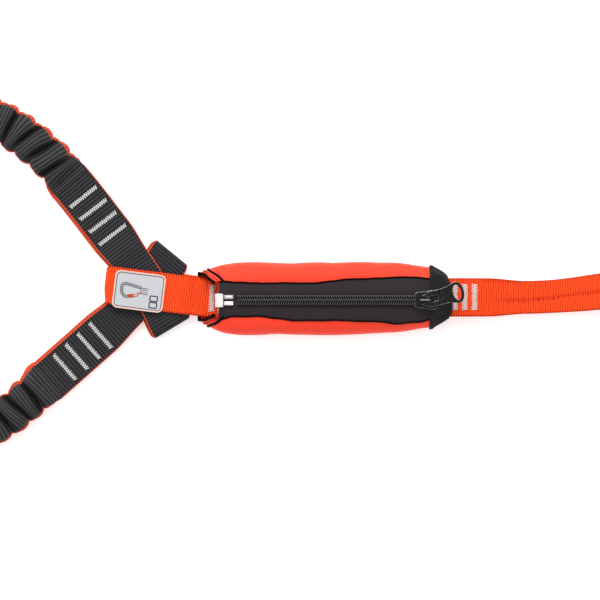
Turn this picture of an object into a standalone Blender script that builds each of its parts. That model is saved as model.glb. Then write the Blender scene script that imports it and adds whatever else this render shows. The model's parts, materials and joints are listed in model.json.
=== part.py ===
"""Shock absorbing Y lanyard: a zipped pouch holding a folded tear webbing, a rest loop that carries two
elastic arms, and a sewn eye for the harness. It lies flat, as on a table.

Frame: metres, +Z up. The origin is under the middle of the pouch, on the table. +X runs along the zip
towards the harness eye, and +Y points to the side of the upper arm.
"""

import math

import bmesh
import bpy
from mathutils import Matrix, Vector

MM = 0.001
GAP = 0.3 * MM

# ---------------------------------------------------------------- driving dimensions

WEB_WIDTH = 25.0 * MM
WEB_THICK = 1.6 * MM
# Each arm's slope at its tacks and at the crossing, where its bend starts and ends, and its final slope.
UPPER_ARM_WAY = (52.5, 59.0, 60 * MM, 240 * MM, 3.0)
LOWER_ARM_WAY = (41.5, 50.7, 100 * MM, 180 * MM, 3.0)
ARM_WIDTH = 28.0 * MM
ARM_THICK = 1.4 * MM

POUCH_LEFT = -82.0 * MM
POUCH_RIGHT = 69.0 * MM
HOOD_RIGHT = 82.0 * MM
POUCH_TOP = 23.0 * MM
SHELL_THICK = 1.1 * MM
SECTION_POWER = 2.4
HINGE_SPLIT = math.radians(3.0)

ZIP_LEFT = -68.5 * MM
ZIP_RIGHT = 69.0 * MM
TAPE_Z = 22.75 * MM
TAPE_THICK = 0.7 * MM
TAPE_INNER = 1.6 * MM
COIL_LEFT = -57.5 * MM
COIL_RIGHT = 66.5 * MM
COIL_PITCH = 3.1 * MM
COIL_BOTTOM = 23.5 * MM
COIL_TOP = 25.4 * MM
COIL_OUTER = 3.7 * MM

PACK_LOW = 3.7 * MM
PACK_THICK = 2.6 * MM
PACK_PITCH = 3.05 * MM
PACK_TOP = PACK_LOW + PACK_THICK + 4 * PACK_PITCH
PACK_Y = 1.1 * MM

SLIDER_LEFT = 57.5 * MM
SLIDER_RIGHT = 73.0 * MM
PLATE_THICK = 1.0 * MM
PULLER_PIVOT = Vector((66.0, 0.0, 27.9)) * MM
PULLER_TURN = math.radians(15.0)

# The arms cross over the rest loop here, and the whole crossing is turned a little about Z.
CROSSING = Vector((-112.3, 6.0, 0.0)) * MM
CROSSING_TURN = math.radians(-7.2)
REST_HINGE = 28.6 * MM
REST_FOLD = -27.0 * MM
SPLIT = 1.3 * MM

# Heights of the webbing layers stacked at the crossing, from the table up.
UPPER_ARM_LOW = 0.75 * MM
LOWER_ARM_LOW = 2.45 * MM
REST_LOW = 4.3 * MM
LOWER_ARM_HIGH = 6.15 * MM
UPPER_ARM_HIGH = 7.9 * MM
REST_HIGH = 9.75 * MM
STRAP_Z = 7.6 * MM

EYE_FOLD = -28.0 * MM
NEAR_TACKS = (44.0, 54.3, 64.6, 74.9)
SLEEVE_START = 89.0 * MM
PUCKERS = 21
PUCKER_PITCH = 12.9 * MM
SLEEVE_END = SLEEVE_START + PUCKERS * PUCKER_PITCH
END_TACKS = (12.0, 22.3, 32.6, 42.9)
END_EYE = 108.0 * MM
TACK_LENGTH = 21.5 * MM
TACK_WIDTH = 3.2 * MM

# Each pouch flap turns about a line along X at its fold.
FLAP_UPPER_HINGE = Vector((0.0, 25.0, 11.5)) * MM
FLAP_LOWER_HINGE = Vector((0.0, -22.4, 11.5)) * MM

HARNESS_SPLIT = 104.0 * MM
HARNESS_END = 222.0 * MM
HARNESS_TACKS = (84.0, 90.3, 96.6)

ORANGE_WEB = (0.85, 0.13, 0.02)
BLACK_WEB = (0.025, 0.026, 0.03)
ORANGE_SHELL = (0.88, 0.11, 0.035)
BLACK_TAPE = (0.018, 0.018, 0.022)
THREAD = (0.72, 0.70, 0.70)


# ---------------------------------------------------------------- tools


def clear_scene():
    for obj in list(bpy.data.objects):
        bpy.data.objects.remove(obj, do_unlink=True)


def new_collection(name):
    made = bpy.data.collections.new(name)
    bpy.context.scene.collection.children.link(made)
    return made


def material(name, colour, roughness=0.8, metallic=0.0):
    made = bpy.data.materials.new(name)
    made.use_nodes = True
    shader = made.node_tree.nodes["Principled BSDF"]
    shader.inputs["Base Color"].default_value = (*colour, 1.0)
    shader.inputs["Roughness"].default_value = roughness
    shader.inputs["Metallic"].default_value = metallic
    return made


def add_object(name, data, finish):
    obj = bpy.data.objects.new(name, data)
    PARTS.objects.link(obj)
    data.materials.append(finish)
    return obj


def smooth(t):
    t = min(max(t, 0.0), 1.0)
    return t * t * (3.0 - 2.0 * t)


def ease(value, start, end):
    """0 before start, 1 after end, and a smooth rise between them."""
    return smooth((value - start) / (end - start))


def stations(x, points):
    """Smooth interpolation through (place, value) pairs given in millimetres."""
    at = x / MM
    if at <= points[0][0]:
        return points[0][1] * MM
    for (x0, v0), (x1, v1) in zip(points, points[1:]):
        if at <= x1:
            return (v0 + (v1 - v0) * smooth((at - x0) / (x1 - x0))) * MM
    return points[-1][1] * MM


def sheet(name, columns, rows, place, thickness, finish, wrap=False):
    """A grid whose points are moved to place(u, v), given thickness by a Solidify modifier."""
    mesh = bpy.data.meshes.new(name)
    bm = bmesh.new()
    bmesh.ops.create_grid(bm, x_segments=columns, y_segments=rows, size=0.5)
    for vert in bm.verts:
        vert.co = place(vert.co.x + 0.5, vert.co.y + 0.5)
    if wrap:
        bmesh.ops.remove_doubles(bm, verts=bm.verts, dist=0.01 * MM)
    bmesh.ops.recalc_face_normals(bm, faces=bm.faces)
    bm.to_mesh(mesh)
    bm.free()
    obj = add_object(name, mesh, finish)
    solidify = obj.modifiers.new("thickness", "SOLIDIFY")
    solidify.thickness = thickness
    solidify.offset = 0.0
    solidify.use_even_offset = True
    mesh.shade_smooth()
    mesh.set_sharp_from_angle(angle=math.radians(40))
    return obj


def strip(name, path, width, thickness, finish, rows=1):
    """A strap along path, a list of (centre, across) pairs."""

    def place(u, v):
        centre, across = path[round(u * (len(path) - 1))]
        return centre + across * (width * (v - 0.5))

    return sheet(name, len(path) - 1, rows, place, thickness, finish)


def arc(centre_s, centre_z, radius, start, end, steps):
    """Points (s, z) on an arc, angles in degrees from +s towards +z."""
    points = []
    for i in range(steps + 1):
        angle = math.radians(start + (end - start) * i / steps)
        points.append((centre_s + radius * math.cos(angle), centre_z + radius * math.sin(angle)))
    return points


def box(name, low, high, finish, bevel=0.0):
    mesh = bpy.data.meshes.new(name)
    bm = bmesh.new()
    bmesh.ops.create_cube(bm, size=1.0)
    size = high - low
    for vert in bm.verts:
        vert.co = Vector((vert.co.x * size.x, vert.co.y * size.y, vert.co.z * size.z))
    bm.to_mesh(mesh)
    bm.free()
    obj = add_object(name, mesh, finish)
    obj.location = (low + high) / 2
    if bevel:
        rounding = obj.modifiers.new("rounding", "BEVEL")
        rounding.width = bevel
        rounding.segments = 1
    return obj


def plate(name, outlines, thickness, finish):
    """A flat plate from closed outlines in its own XY plane. The first is the rim, the rest are holes."""
    curve = bpy.data.curves.new(name, "CURVE")
    curve.dimensions = "2D"
    curve.fill_mode = "BOTH"
    curve.extrude = thickness / 2
    for outline in outlines:
        spline = curve.splines.new("POLY")
        spline.points.add(len(outline) - 1)
        for point, (x, y) in zip(spline.points, outline):
            point.co = (x, y, 0.0, 1.0)
        spline.use_cyclic_u = True
    return add_object(name, curve, finish)


def rounded_rectangle(length, width, radius, steps=3):
    outline = []
    corners = ((1, 1, 0), (-1, 1, 90), (-1, -1, 180), (1, -1, 270))
    for sx, sy, start in corners:
        cx = sx * (length / 2 - radius)
        cy = sy * (width / 2 - radius)
        outline += arc(cx, cy, radius, start, start + 90, steps)
    return outline


def as_mesh(obj):
    """Turns a curve object into a welded mesh object of the same name, ready for a Boolean."""
    graph = bpy.context.evaluated_depsgraph_get()
    mesh = bpy.data.meshes.new_from_object(obj.evaluated_get(graph))
    bm = bmesh.new()
    bm.from_mesh(mesh)
    bmesh.ops.remove_doubles(bm, verts=bm.verts, dist=0.001 * MM)
    bm.to_mesh(mesh)
    bm.free()
    name, place = obj.name, obj.matrix_world.copy()
    bpy.data.objects.remove(obj, do_unlink=True)
    made = bpy.data.objects.new(name, mesh)
    PARTS.objects.link(made)
    made.matrix_world = place
    return made


def put_origin(names, pivot):
    """Moves the origin of each named part onto its joint's axis. The part itself stays where it is."""
    for name in names:
        obj = PARTS.objects[name]
        shift = obj.matrix_world.inverted() @ pivot
        obj.data.transform(Matrix.Translation(-shift))
        obj.matrix_world = obj.matrix_world @ Matrix.Translation(shift)


def join(target, helper):
    """Unites helper with target. The helper stays in the scene, hidden from renders."""
    PARTS.objects.unlink(helper)
    HELPERS.objects.link(helper)
    helper.hide_render = True
    helper.display_type = "WIRE"
    union = target.modifiers.new("with_" + helper.name, "BOOLEAN")
    union.operation = "UNION"
    union.object = helper


# ---------------------------------------------------------------- pouch


HALF_WIDTH = ((-82, 15.2), (-76, 18.8), (-67, 22.6), (-52, 24.0), (12, 24.0), (45, 23.0), (69, 19.4))
BOTTOM = ((-82, 1.4), (-70, 0.3), (-56, -0.5), (48, -0.5), (69, 1.5))
CENTRE_Y = ((-82, 2.2), (-70, 0.8), (-30, 1.0), (69, 1.7))


def section(x, angle, inset=0.0):
    """A point on the pouch's outer surface. Angle 0 is the +Y side and 90 degrees is the top."""
    half = stations(x, HALF_WIDTH) - inset
    low = stations(x, BOTTOM) + inset
    top = POUCH_TOP - 10.0 * MM * (1.0 - ease(x, POUCH_LEFT, ZIP_LEFT)) - inset
    power = 2.0 / SECTION_POWER
    c, s = math.cos(angle), math.sin(angle)
    y = stations(x, CENTRE_Y) + half * math.copysign(abs(c) ** power, c)
    z = (top + low) / 2 + (top - low) / 2 * math.copysign(abs(s) ** power, s)
    return Vector((x, y, z))


def seam_angle(x):
    """Where the shell's panels meet the zip tape, measured from either side."""
    return math.radians(67.0 - 7.0 * ease(x, -60 * MM, 20 * MM))


def mouth_x(height_angle):
    """The mouth is cut back towards the zip, so the shell starts further right near the top."""
    return POUCH_LEFT + 11.0 * MM * smooth(max(height_angle, 0.0) / math.radians(67.0))


def make_panel(name, side, finish):
    """One upper side panel, from the fold line at the pouch's widest line to the zip tape."""

    def place(u, v):
        rough = HINGE_SPLIT + v * (seam_angle(0.0) - HINGE_SPLIT)
        start = mouth_x(rough)
        x = start + u * (POUCH_RIGHT - start)
        angle = HINGE_SPLIT + v * (seam_angle(x) - HINGE_SPLIT)
        if side < 0:
            angle = math.pi - angle
        return section(x, angle, SHELL_THICK / 2)

    return sheet(name, 16, 5, place, SHELL_THICK, finish)


def make_base(finish):
    """The trough below the fold lines: both lower sides and the underside."""

    def place(u, v):
        x = POUCH_LEFT + u * (POUCH_RIGHT - POUCH_LEFT)
        angle = math.pi + HINGE_SPLIT + v * (math.pi - 2 * HINGE_SPLIT)
        spot = section(x, angle, SHELL_THICK / 2)
        spot.z = max(spot.z, SHELL_THICK / 2)  # it lies flat on the table
        return spot

    return sheet("pouch_base", 16, 10, place, SHELL_THICK, finish)


def tape_edge(x, side):
    """Y of the outer edge of a zip tape, just inside the panel's seam."""
    angle = seam_angle(x) if side > 0 else math.pi - seam_angle(x)
    return section(x, angle).y - side * 1.2 * MM


def make_tape(name, side, finish):
    def place(u, v):
        x = ZIP_LEFT + u * (ZIP_RIGHT - ZIP_LEFT)
        inner = side * TAPE_INNER
        y = inner + v * (tape_edge(x, side) - inner)
        drop = 1.1 * MM * ease(abs(y), 5 * MM, 13 * MM)
        return Vector((x, y, TAPE_Z - drop))

    return sheet(name, 14, 3, place, TAPE_THICK, finish)


def make_coil(name, side, finish):
    """One half of the zip: a spine along the tape with heads that mesh with the other half's."""
    outline = [(COIL_RIGHT, side * COIL_OUTER), (COIL_LEFT, side * COIL_OUTER)]
    spine, head = side * 1.5 * MM, -side * 1.0 * MM
    half_head = 0.55 * MM
    x = COIL_LEFT + (1.0 if side > 0 else 1.0 + COIL_PITCH / MM / 2) * MM
    while x + half_head < COIL_RIGHT:
        outline += [(x - half_head * 1.4, spine), (x - half_head, head)]
        outline += [(x + half_head, head), (x + half_head * 1.4, spine)]
        x += COIL_PITCH
    outline.insert(2, (COIL_LEFT, spine))
    outline.append((COIL_RIGHT, spine))
    coil = plate(name, [outline], COIL_TOP - COIL_BOTTOM, finish)
    coil.location.z = (COIL_TOP + COIL_BOTTOM) / 2
    return coil


def make_mouth_binding(name, first, last, finish):
    """One length of the cord bound round the mouth, a little outside the edge of the shell. Angles in degrees."""
    curve = bpy.data.curves.new(name, "CURVE")
    curve.dimensions = "3D"
    curve.bevel_depth = 0.9 * MM
    curve.bevel_resolution = 0
    curve.use_fill_caps = True
    spline = curve.splines.new("POLY")
    steps = math.ceil(abs(last - first) / 16)
    spline.points.add(steps)
    for i, point in enumerate(spline.points):
        angle = math.radians(first + (last - first) * i / steps)
        height = angle if angle > -math.pi / 2 else -math.pi - angle
        spot = section(mouth_x(height), angle, SHELL_THICK / 2)
        spot.x -= 1.9 * MM
        point.co = (*spot, 1.0)
    return add_object(name, curve, finish)


def make_hood(finish):
    """The black end piece, pleated down from the pouch's end to the strap."""

    def place(u, v):
        angle = v * 2 * math.pi
        wide = section(POUCH_RIGHT, angle, SHELL_THICK / 2)
        wide.z = 1.8 * MM + (wide.z - 1.8 * MM) * 0.83
        power = 0.6
        c, s = math.cos(angle), math.sin(angle)
        narrow = Vector((HOOD_RIGHT, 1.7 * MM, STRAP_Z))
        narrow.y += 14.6 * MM * math.copysign(abs(c) ** power, c)
        narrow.z += 4.4 * MM * math.copysign(abs(s) ** power, s)
        spot = wide.lerp(narrow, u)
        spot.x = POUCH_RIGHT + 0.8 * MM + u * (HOOD_RIGHT - POUCH_RIGHT - 0.8 * MM)
        return spot

    return sheet("end_hood", 3, 20, place, 0.9 * MM, finish, wrap=True)


def make_pouch():
    shell = material("shell_fabric", ORANGE_SHELL, 0.75)
    tape = material("black_tape", BLACK_TAPE, 0.85)
    coil = material("black_nylon", (0.02, 0.02, 0.02), 0.35)
    make_base(shell)
    for label, side in (("upper", 1), ("lower", -1)):
        make_panel(f"pouch_panel_{label}", side, shell)
        make_tape(f"zip_tape_{label}", side, tape)
        make_coil(f"zip_coil_{label}", side, coil)
    make_mouth_binding("mouth_binding_upper", 66, 5, tape)
    make_mouth_binding("mouth_binding_base", -6, -174, tape)
    make_mouth_binding("mouth_binding_lower", -185, -246, tape)
    make_hood(tape)


# ---------------------------------------------------------------- zip metalwork


def make_zip_box():
    """The retainer box of the separable zip, with its own pin and the insertion pin of the other tape."""
    white = material("plated_metal", (0.82, 0.82, 0.80), 0.3, 0.6)
    bottom = TAPE_Z + TAPE_THICK / 2 + GAP
    box(
        "zip_retainer_box",
        Vector((-70.5 * MM, -4.6 * MM, bottom)),
        Vector((-65.3 * MM, 4.0 * MM, bottom + 2.9 * MM)),
        white,
        0.5 * MM,
    )
    for name, y in (("zip_insertion_pin", 1.9 * MM), ("zip_box_pin", -2.1 * MM)):
        box(
            name,
            Vector((-64.9 * MM, y - 1.3 * MM, bottom)),
            Vector((-58.8 * MM, y + 1.3 * MM, bottom + 1.9 * MM)),
            white,
            0.3 * MM,
        )


def slider_outline():
    """The slider's plan: a wide nose that parts the coils, and a narrower tail that closes them."""
    tail, nose = 4.9 * MM, 6.3 * MM
    left, right = SLIDER_LEFT, SLIDER_RIGHT
    shoulder = right - 6.0 * MM
    half = [(left, tail - 1.2 * MM), (left + 1.2 * MM, tail), (shoulder, nose)]
    half += [(right - 2.0 * MM, nose - 0.6 * MM), (right, nose - 2.6 * MM)]
    return half + [(x, -y) for x, y in reversed(half)]


def make_slider():
    black = material("black_metal", (0.015, 0.015, 0.016), 0.3, 0.4)
    top_z = COIL_TOP + 0.4 * MM + PLATE_THICK / 2
    low_z = TAPE_Z - TAPE_THICK / 2 - GAP - PLATE_THICK / 2
    body = plate("slider_body", [slider_outline()], PLATE_THICK, black)
    body.location.z = top_z
    lower = plate("slider_lower_plate", [slider_outline()], PLATE_THICK, black)
    lower.location.z = low_z
    post = box(
        "slider_post",
        Vector((69.2 * MM, -1.2 * MM, low_z - 0.2 * MM)),
        Vector((72.0 * MM, 1.2 * MM, top_z + 0.2 * MM)),
        black,
    )
    bpy.context.view_layer.update()
    body, lower = as_mesh(body), as_mesh(lower)
    join(body, lower)
    join(body, post)
    for side in (1, -1):
        flange = box(
            "slider_flange_upper" if side > 0 else "slider_flange_lower",
            Vector((SLIDER_LEFT + 1.0 * MM, side * 4.5 * MM - 0.35 * MM, COIL_BOTTOM + 0.4 * MM)),
            Vector((SLIDER_RIGHT - 5.0 * MM, side * 4.5 * MM + 0.35 * MM, top_z)),
            black,
        )
        join(body, flange)
    crown = bpy.data.curves.new("slider_crown", "CURVE")
    crown.dimensions = "3D"
    crown.bevel_depth = 0.85 * MM
    crown.bevel_resolution = 1
    crown.use_fill_caps = True
    spline = crown.splines.new("POLY")
    foot = top_z + PLATE_THICK / 2 + GAP
    top = foot + 3.3 * MM
    arch = [(60.0, foot), (60.0, top - 0.9 * MM), (60.9, top), (67.2, top), (68.1, top - 0.9 * MM), (68.1, foot)]
    spline.points.add(len(arch) - 1)
    for point, (x, z) in zip(spline.points, arch):
        point.co = (x * MM, 0.0, z, 1.0)
    add_object("slider_crown", crown, black)
    return black


def make_puller(black):
    """The pull tab: a bar under the crown, a window round it, and a flared tab that ends in an oval ring."""
    ring_x, ring_along, ring_across = 19.1 * MM, 4.5 * MM, 7.0 * MM
    rim = [(-0.7 * MM, 4.6 * MM), (-0.7 * MM, -4.6 * MM), (6.0 * MM, -5.0 * MM), (13.0 * MM, -5.2 * MM)]
    for x, y in arc(0.0, 0.0, 1.0, -105, 105, 12):
        rim.append((ring_x + ring_along * x, ring_across * y))
    rim += [(13.0 * MM, 5.2 * MM), (6.0 * MM, 5.0 * MM)]
    window = [(0.7 * MM, -1.9 * MM), (6.7 * MM, -1.9 * MM), (6.7 * MM, 1.9 * MM), (0.7 * MM, 1.9 * MM)]
    hole = [(ring_x + 2.5 * MM * x, 4.8 * MM * y) for x, y in arc(0.0, 0.0, 1.0, 0, 330, 11)]
    tab = plate("puller_tab", [rim, window, hole], 1.3 * MM, black)
    tab.location = PULLER_PIVOT
    tab.rotation_euler.z = PULLER_TURN
    return tab


# ---------------------------------------------------------------- straps of the absorber


def crossing_point(along, across, z):
    """A point given in the crossing's own turned axes, where +along runs towards the pouch."""
    turn = Matrix.Rotation(CROSSING_TURN, 3, "Z")
    return CROSSING + turn @ Vector((along, across, z))


def crossing_across():
    return Matrix.Rotation(CROSSING_TURN, 3, "Z") @ Vector((0.0, 1.0, 0.0))


def make_bar_tack(name, centre, across, length, finish):
    """A bar tack: one zigzag ribbon of thread lying across the strap."""
    along = across.cross(Vector((0.0, 0.0, 1.0)))
    strokes = 14

    def place(u, v):
        step = round(u * strokes)
        swing = TACK_WIDTH / 2 * (1 if step % 2 else -1)
        return centre + across * (length * (u - 0.5)) + along * (swing + 0.9 * MM * (v - 0.5))

    return sheet(name, strokes, 1, place, 0.5 * MM, finish)


def make_rest_loop(webbing, thread):
    radius = (REST_HIGH - REST_LOW) / 2
    middle = (REST_HIGH + REST_LOW) / 2
    end = REST_HINGE - SPLIT
    low = [(end, STRAP_Z - 0.9 * MM), (end - 3.5 * MM, REST_LOW + 0.5 * MM), (end - 7 * MM, REST_LOW)]
    high = [(end - 7 * MM, REST_HIGH + 0.25 * MM), (end - 3.5 * MM, REST_HIGH - 0.1 * MM), (end, STRAP_Z + 0.95 * MM)]
    top = [(0.0, REST_HIGH), (10.6 * MM, REST_HIGH)]
    profile = low + [(0.0, REST_LOW)] + arc(REST_FOLD, middle, radius, 270, 90, 8) + top + high
    across = crossing_across()
    path = [(crossing_point(s, 0.0, z), across) for s, z in profile]
    strip("rest_loop_webbing", path, WEB_WIDTH, WEB_THICK, webbing)

    lead = [(REST_HINGE + SPLIT, 0.0), (REST_HINGE + 8 * MM, 0.0), (REST_HINGE + 16 * MM, 0.0)]
    outer = [crossing_point(s, y, 0.0) for s, y in lead] + [Vector((-54.0 * MM, 0.4 * MM, 0.0))]
    low_z, high_z = STRAP_Z - 0.9 * MM, STRAP_Z + 0.95 * MM
    path = [(spot + Vector((0, 0, low_z)), across) for spot in outer]
    path += [(outer[-1] + Vector((0.9 * MM, 0, STRAP_Z)), across)]
    path += [(spot + Vector((0, 0, high_z)), across) for spot in reversed(outer)]
    strip("rest_strap_lead", path, WEB_WIDTH, WEB_THICK, webbing)

    tack_z = high_z + WEB_THICK / 2 + GAP + 0.25 * MM
    for name, s in (("rest_tack_outer", 39.5), ("rest_tack_inner", 45.5)):
        make_bar_tack(name, crossing_point(s * MM, 0.0, tack_z), across, 17.0 * MM, thread)


def make_rest_label():
    grey = material("label_fabric", (0.62, 0.63, 0.65), 0.6)
    edge = material("label_edge", (0.80, 0.60, 0.54), 0.7)
    z = REST_HIGH + WEB_THICK / 2 + GAP + 0.25 * MM
    length, width = 31.0 * MM, 24.3 * MM
    inner = rounded_rectangle(length - 3.0 * MM, width - 3.0 * MM, 2.2 * MM)
    rim = rounded_rectangle(length, width, 3.4 * MM)
    hole = rounded_rectangle(length - 2.4 * MM, width - 2.4 * MM, 2.4 * MM)
    for obj in (
        plate("rest_label", [inner], 0.5 * MM, grey),
        plate("rest_label_border", [rim, hole], 0.5 * MM, edge),
    ):
        obj.location = crossing_point(-7.1 * MM, -0.4 * MM, z)
        obj.rotation_euler.z = CROSSING_TURN


def make_pack(webbing):
    """The tear webbing: two plies woven together, folded to and fro inside the pouch."""
    layers, pitch, thick = 5, PACK_PITCH, PACK_THICK
    left, right, first = -46.0 * MM, 43.0 * MM, PACK_LOW + PACK_THICK / 2
    profile = [(left, first)]
    for i in range(layers):
        z = first + i * pitch
        end = right if i % 2 == 0 else left
        profile.append((end, z))
        if i < layers - 1:
            turn = (-90, 90) if i % 2 == 0 else (270, 90)
            profile += arc(end, z + pitch / 2, pitch / 2, *turn, 4)[1:]
    profile[-1] = (right, profile[-1][1])
    path = [(Vector((x, PACK_Y, z)), Vector((0.0, 1.0, 0.0))) for x, z in profile]
    strip("tear_webbing_pack", path, WEB_WIDTH, thick, webbing)


def make_pack_extras():
    band = material("elastic_band", (0.05, 0.05, 0.055), 0.7)
    paper = material("label_textile", (0.78, 0.78, 0.76), 0.8)
    thick, gap = 0.6 * MM, 0.35 * MM
    reach = WEB_WIDTH / 2 + gap + thick / 2
    low = PACK_LOW - gap - thick / 2
    high = PACK_TOP + gap + thick / 2
    corners = rounded_rectangle(2 * reach, high - low, 0.6 * MM, 2)
    corners.append(corners[0])

    def place(u, v):
        y, z = corners[round(v * (len(corners) - 1))]
        return Vector(((22.0 + 9.0 * u) * MM, PACK_Y + y, (low + high) / 2 + z))

    sheet("pack_retaining_band", 1, len(corners) - 1, place, thick, band, wrap=True)
    first = PACK_TOP / MM + 0.5
    pages = [(-34, first), (8, first), (9.1, first + 0.5), (8, first + 1.0), (-32, first + 1.0)]
    path = [(Vector((x * MM, PACK_Y, z * MM)), Vector((0.0, 1.0, 0.0))) for x, z in pages]
    strip("inspection_label", path, 21.0 * MM, 0.4 * MM, paper)


def harness_width(x):
    """The strap draws in past the bar tacks, where it starts to crease lengthwise."""
    return WEB_WIDTH - 3.6 * MM * ease(x, 104 * MM, 130 * MM) + 2.6 * MM * ease(x, 138 * MM, 190 * MM)


def harness_drift(x):
    return 1.7 * MM + 10.5 * MM * ease(x, 128 * MM, 250 * MM)


def make_harness_straps(webbing, thread):
    low_z, high_z = STRAP_Z - 0.9 * MM, STRAP_Z + 0.95 * MM
    end = HARNESS_SPLIT - SPLIT
    across = Vector((0.0, 1.0, 0.0))
    profile = [(end, low_z), (49.0 * MM, low_z), (48.1 * MM, STRAP_Z), (49.0 * MM, high_z), (end, high_z)]
    path = [(Vector((x, 1.7 * MM, z)), across) for x, z in profile]
    strip("harness_strap_lead", path, WEB_WIDTH, WEB_THICK, webbing)
    tack_z = high_z + WEB_THICK / 2 + GAP + 0.25 * MM
    for i, x in enumerate(HARNESS_TACKS):
        spot = Vector((x * MM, 1.9 * MM, tack_z))
        make_bar_tack(f"harness_tack_{i + 1}", spot, across, 17.0 * MM, thread)

    start = HARNESS_SPLIT + SPLIT
    steps = 8
    radius = 4.2 * MM
    last = HARNESS_END - radius - WEB_THICK / 2
    low, high = [], []
    for i in range(steps + 1):
        x = start + (last - start) * i / steps
        spread = ease(x, start + 4 * MM, last - 20 * MM)
        drop = 2.0 * MM * ease(x, start, last - 40 * MM)
        low.append((x, low_z - drop - 3.0 * MM * spread))
        high.append((x, high_z - drop + 3.55 * MM * spread))
    middle = (low[-1][1] + high[-1][1]) / 2
    radius = (high[-1][1] - low[-1][1]) / 2
    profile = low + arc(last, middle, radius, -90, 90, 9)[1:-1] + high[::-1]
    rows = 4

    def place(u, v):
        x, z = profile[round(u * (len(profile) - 1))]
        crease = 0.8 * MM * ease(x, 104 * MM, 130 * MM) * (1.0 - ease(x, 196 * MM, 212 * MM))
        crease *= (1.0 - abs(2 * v - 1)) * (1 if z > middle else 0)
        return Vector((x, harness_drift(x) + harness_width(x) * (v - 0.5), z - crease))

    sheet("harness_eye_webbing", len(profile) - 1, rows, place, WEB_THICK, webbing)


# ---------------------------------------------------------------- elastic arms


class Arm:
    """The centre line of one arm on the table, by distance from the crossing."""

    STEP = 1.0 * MM

    def __init__(self, side, slope, eye_slope, straight, settle, final_slope):
        self.side = side
        self.slope = slope
        self.eye_slope = eye_slope
        self.straight = straight
        self.settle = settle
        self.final_slope = final_slope
        self.spots = {0: CROSSING.copy()}
        for direction in (1, -1):
            spot = CROSSING.copy()
            for i in range(1, 520 if direction > 0 else 40):
                middle = direction * (i - 0.5) * self.STEP
                spot = spot + self.heading(middle) * self.STEP * direction
                self.spots[direction * i] = spot

    def heading(self, s):
        """Direction away from the crossing. The slope eases off, so that the arm ends along -X."""
        slope = self.slope + (self.eye_slope - self.slope) * (1.0 - ease(s, -10 * MM, 46 * MM))
        slope += (self.final_slope - self.slope) * ease(s, self.straight, self.settle)
        angle = math.radians(slope)
        return Vector((-math.cos(angle), self.side * math.sin(angle), 0.0))

    def centre(self, s):
        i = math.floor(s / self.STEP)
        return self.spots[i].lerp(self.spots[i + 1], s / self.STEP - i)

    def across(self, s):
        return Vector((0.0, 0.0, 1.0)).cross(self.heading(s)) * -self.side

    def at(self, s, z):
        return self.centre(s) + Vector((0.0, 0.0, z)), self.across(s)

    def drawn_in(self, s, z):
        """As at, but narrower where the webbing is drawn in as it passes through the rest loop."""
        centre, across = self.at(s, z)
        return centre, across * (1.0 - 0.12 * (1.0 - ease(abs(s), 22 * MM, 44 * MM)))


def near_eye_profile(low, high):
    """(s, z) down the arm's near end: tail, lower layer, fold at the crossing's far side, upper layer."""
    seam_low, seam_high = 2.6 * MM, 4.3 * MM
    radius, middle = (high - low) / 2, (high + low) / 2
    fold = EYE_FOLD + radius + ARM_THICK / 2
    tail = [(84 * MM, seam_low), (42 * MM, seam_low)]
    lower = [(36 * MM, (seam_low + low) / 2), (29 * MM, low), (8 * MM, low), (-12 * MM, low)]
    upper = [(-12 * MM, high), (8 * MM, high), (29 * MM, high), (36 * MM, (seam_high + high) / 2)]
    upper.append((42 * MM, seam_high))
    end = [(SLEEVE_START - 0.5 * MM, seam_high)]
    return tail + lower + arc(fold, middle, radius, 270, 90, 8) + upper + end


def sleeve_shape(s):
    """(half width, half height, centre height) of the gathered sleeve at distance s along the arm."""
    inside = min(s - SLEEVE_START, SLEEVE_END - s)
    full = ease(inside, 0.0, 14 * MM)
    wave = math.cos(2 * math.pi * (s - SLEEVE_START) / PUCKER_PITCH)
    half_width = 13.9 * MM - 2.2 * MM * full - 0.9 * MM * wave * full
    half_height = 1.5 * MM + 4.4 * MM * full - 0.8 * MM * wave * full
    centre = 4.3 * MM + 2.7 * MM * full
    return half_width, half_height, centre


def make_sleeve(name, arm, finish):
    rings = 2 * PUCKERS

    def place(u, v):
        s = SLEEVE_START + (SLEEVE_END - SLEEVE_START) * round(u * rings) / rings
        half_width, half_height, centre = sleeve_shape(s)
        spot, across = arm.at(s, centre)
        angle = v * 2 * math.pi
        wide = half_width * math.cos(angle)
        tall = half_height * math.sin(angle)
        return spot + across * wide + Vector((0.0, 0.0, tall))

    return sheet(name, rings, 10, place, 1.0 * MM, finish, wrap=True)


def make_core(name, arm, finish):
    """The rubber strands inside the sleeve, as one flat elastic band."""
    path = []
    steps = 16
    start, end = SLEEVE_START + 16 * MM, SLEEVE_END - 16 * MM
    for i in range(steps + 1):
        path.append(arm.at(start + (end - start) * i / steps, 7.0 * MM))
    return strip(name, path, 12.0 * MM, 2.4 * MM, finish)


def end_eye_profile():
    """(s, z) of the far eye: upper layer out, a round fold, and the tail back under the bar tacks."""
    start = SLEEVE_END + 0.5 * MM
    high, low = 4.3 * MM, 2.6 * MM
    radius, middle = 3.9 * MM, 4.7 * MM
    fold = SLEEVE_END + END_EYE - radius - ARM_THICK / 2
    seam = SLEEVE_END + 48 * MM
    upper = [(start, high), (seam, high), (seam + 14 * MM, high + 2.6 * MM), (seam + 28 * MM, middle + radius)]
    lower = [(seam + 28 * MM, middle - radius), (seam + 14 * MM, low - 1.2 * MM), (seam, low)]
    return upper + arc(fold, middle, radius, 90, -90, 9) + lower + [(SLEEVE_END + 6 * MM, low)]


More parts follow.
